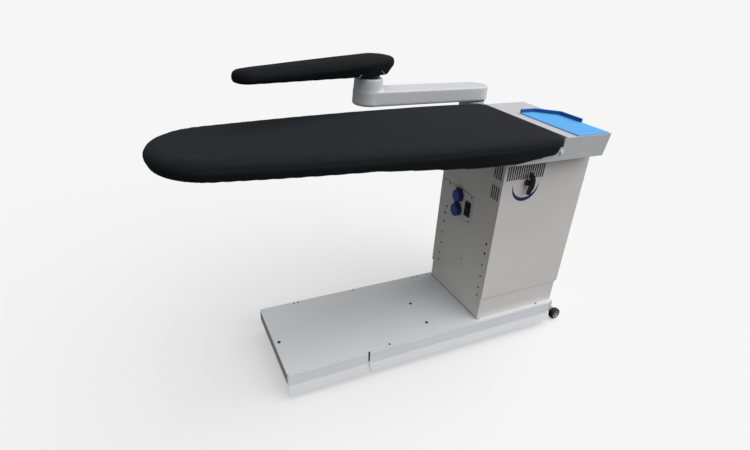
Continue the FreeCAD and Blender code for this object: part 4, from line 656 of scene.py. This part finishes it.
def hang_board_hem(piece):
    """Lets the board cover's hem hang free up to the tray, and stand out over the tray's sides."""
    low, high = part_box("board_cover")
    length, middle, waist = high.x - low.x, (low.y + high.y) / 2, low.z + HEM_WAIST * (high.z - low.z)
    tray_start, tray_end = [low.x + share * length for share in TRAY_SPAN]
    for name, direction, side, strength in (("near", "Y", -1, -HEM_OUT), ("far", "Y", 1, HEM_OUT),
                                            ("free", "Z", 0, -HEM_DROP)):
        skirt = piece.vertex_groups.new(name=name)
        for vertex in piece.data.vertices:
            tray = share_between(vertex.co.x, tray_start, tray_end)
            tray = tray * tray * (3 - 2 * tray)
            drop = share_between(vertex.co.z, waist, low.z)
            over = tray * share_between(side * (vertex.co.y - middle), *OUT_SPAN) if side else 1 - tray
            skirt.add([vertex.index], over * drop, "REPLACE")
        add_and_apply(piece, "DISPLACE", direction=direction, vertex_group=name, strength=strength,
                      mid_level=0.0)
    piece.vertex_groups.clear()


def settle_under_arm(piece):
    """Presses the board cover's crown down, so that the arm swings over it without touching."""
    low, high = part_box("board_cover")
    waist, crown = (low.z + high.z) / 2, max(vertex.co.z for vertex in piece.data.vertices)
    share = (high.z + CROWN_RISE - waist) / (crown - waist)
    for vertex in piece.data.vertices:
        if vertex.co.z > waist:
            vertex.co.z = waist + (vertex.co.z - waist) * share


def gather_hem(piece, height):
    """Draws shallow puckers into the sides, deepest at the hem."""
    hem = piece.vertex_groups.new(name="hem")
    low = min(vertex.co.z for vertex in piece.data.vertices)
    for vertex in piece.data.vertices:
        share = share_between(vertex.co.z, low + height, low)
        hem.add([vertex.index], share * share, "REPLACE")
    folds = bpy.data.textures.new(piece.name + "_folds", "CLOUDS")
    folds.noise_scale = PUCKER_SIZE
    folds.noise_depth = 1
    add_and_apply(piece, "DISPLACE", texture=folds, vertex_group="hem", strength=PUCKER_DEPTH,
                  mid_level=0.5, texture_coords="LOCAL")


def fit_cover(node, voxel, fill, hem_height):
    piece = lift_off(node)
    soften(piece, voxel, COVER_PASSES)
    swell(piece)
    add_and_apply(piece, "DISPLACE", strength=fill, mid_level=0.0)
    if node == "board_cover":
        hang_board_hem(piece)
        settle_under_arm(piece)
    gather_hem(piece, hem_height)
    paint(piece, node)


def lay_foam(node):
    piece = lift_off(node)
    ease_edges(piece, FOAM_EDGE, FOAM_SEGMENTS)
    paint(piece, node)


# The room

def seen_or_lit(tree, seen, lit):
    """Puts together one shader for the camera and another for the light that falls on the table."""
    path = tree.nodes.new("ShaderNodeLightPath")
    mix = tree.nodes.new("ShaderNodeMixShader")
    tree.links.new(path.outputs["Is Camera Ray"], mix.inputs["Fac"])
    tree.links.new(lit.outputs[0], mix.inputs[1])
    tree.links.new(seen.outputs[0], mix.inputs[2])
    return mix.outputs[0]


def studio_floor():
    """A pale floor whose glow stops under the base, so that the holes in the base plate stay dark."""
    bpy.ops.object.select_all(action="DESELECT")
    bpy.ops.mesh.primitive_plane_add(size=FLOOR_SIZE, location=(0, 0, -FLOOR_DROP))
    floor = bpy.context.object
    floor.name = "studio_floor"
    finish = Finish("studio_floor", [FLOOR_SEEN] * 3, roughness=1.0)
    finish.feed(finish.shader, {"Specular IOR Level": 0.0})
    low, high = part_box("base_plate")
    left, right, near, far = PATCH_INSETS
    under = finish.inside(X=(low.x + left, high.x - right), Y=(low.y + near, high.y - far))
    glow = finish.node("Emission", {"Color": (*[FLOOR_GLOW] * 3, 1),
                                    "Strength": finish.calc("SUBTRACT", 1.0, under)})
    bounce = finish.node("BsdfDiffuse", {"Color": (*[FLOOR_BOUNCE] * 3, 1)})
    pale = finish.node("MixShader", {"Fac": GLOW_SHARE, 1: finish.shader.outputs[0], 2: glow.outputs[0]})
    finish.feed(finish.tree.nodes["Material Output"], {"Surface": seen_or_lit(finish.tree, pale, bounce)})
    floor.data.materials.append(finish.material)


def add_lamp(name, kind, energy, **placing):
    bpy.ops.object.light_add(type=kind, **placing)
    lamp = bpy.context.object
    lamp.name = name
    lamp.data.name = name
    lamp.data.energy = energy
    return lamp


def key_sun():
    turn = Vector(KEY_TOWARD).to_track_quat("Z", "Y").to_euler()
    lamp = add_lamp("key_sun", "SUN", KEY_STRENGTH, location=(0, 0, KEY_HEIGHT), rotation=turn)
    lamp.data.angle = math.radians(KEY_WIDTH)


def floor_fill():
    """The light that a white floor throws back on the lower front of the table."""
    low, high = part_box("base_plate")
    place = ((low.x + high.x) / 2, low.y - FILL_AHEAD, FILL_HEIGHT)
    lamp = add_lamp("floor_fill", "AREA", FILL_POWER, location=place, rotation=(math.pi, 0, 0))
    lamp.data.shape = "RECTANGLE"
    lamp.data.size = FILL_LENGTH
    lamp.data.size_y = FILL_WIDTH
    lamp.visible_camera = False
    lamp.visible_glossy = False


def studio_sky():
    world = bpy.data.worlds.new("studio_sky")
    bpy.context.scene.world = world
    world.use_nodes = True
    tree = world.node_tree
    skies = []
    for level in (SKY_SEEN, SKY_LIGHT):
        sky = tree.nodes.new("ShaderNodeBackground")
        sky.inputs["Color"].default_value = (1.0, 1.0, 1.0, 1)
        sky.inputs["Strength"].default_value = level
        skies.append(sky)
    tree.links.new(seen_or_lit(tree, *skies), tree.nodes["World Output"].inputs["Surface"])


def photo_camera():
    yaw, pitch, roll = (math.radians(angle) for angle in (CAMERA_YAW, CAMERA_PITCH, CAMERA_ROLL))
    ahead = Vector((math.sin(yaw) * math.cos(pitch), math.cos(yaw) * math.cos(pitch), -math.sin(pitch)))
    level = Vector((math.cos(yaw), -math.sin(yaw), 0))
    upright = level.cross(ahead)
    across = level * math.cos(roll) + upright * math.sin(roll)
    upward = upright * math.cos(roll) - level * math.sin(roll)
    turn = Matrix((across, upward, -ahead)).transposed()
    bpy.ops.object.camera_add(location=CAMERA_PLACE, rotation=turn.to_euler())
    camera = bpy.context.object
    camera.name = "photo_camera"
    camera.data.sensor_width = CAMERA_SENSOR
    camera.data.lens = CAMERA_LENS
    camera.data.clip_end = CAMERA_REACH
    bpy.context.scene.camera = camera


for node, solid in NODES.items():
    paint(solid, node)
dress_rigid_pieces()
cast_arm()
for node, sizes in COVERS.items():
    fit_cover(node, *sizes)
lay_foam("board_pad")
lay_foam("sleeve_pad")
studio_floor()
studio_sky()
key_sun()
floor_fill()
photo_camera()
bpy.context.scene.view_settings.view_transform = "Standard"
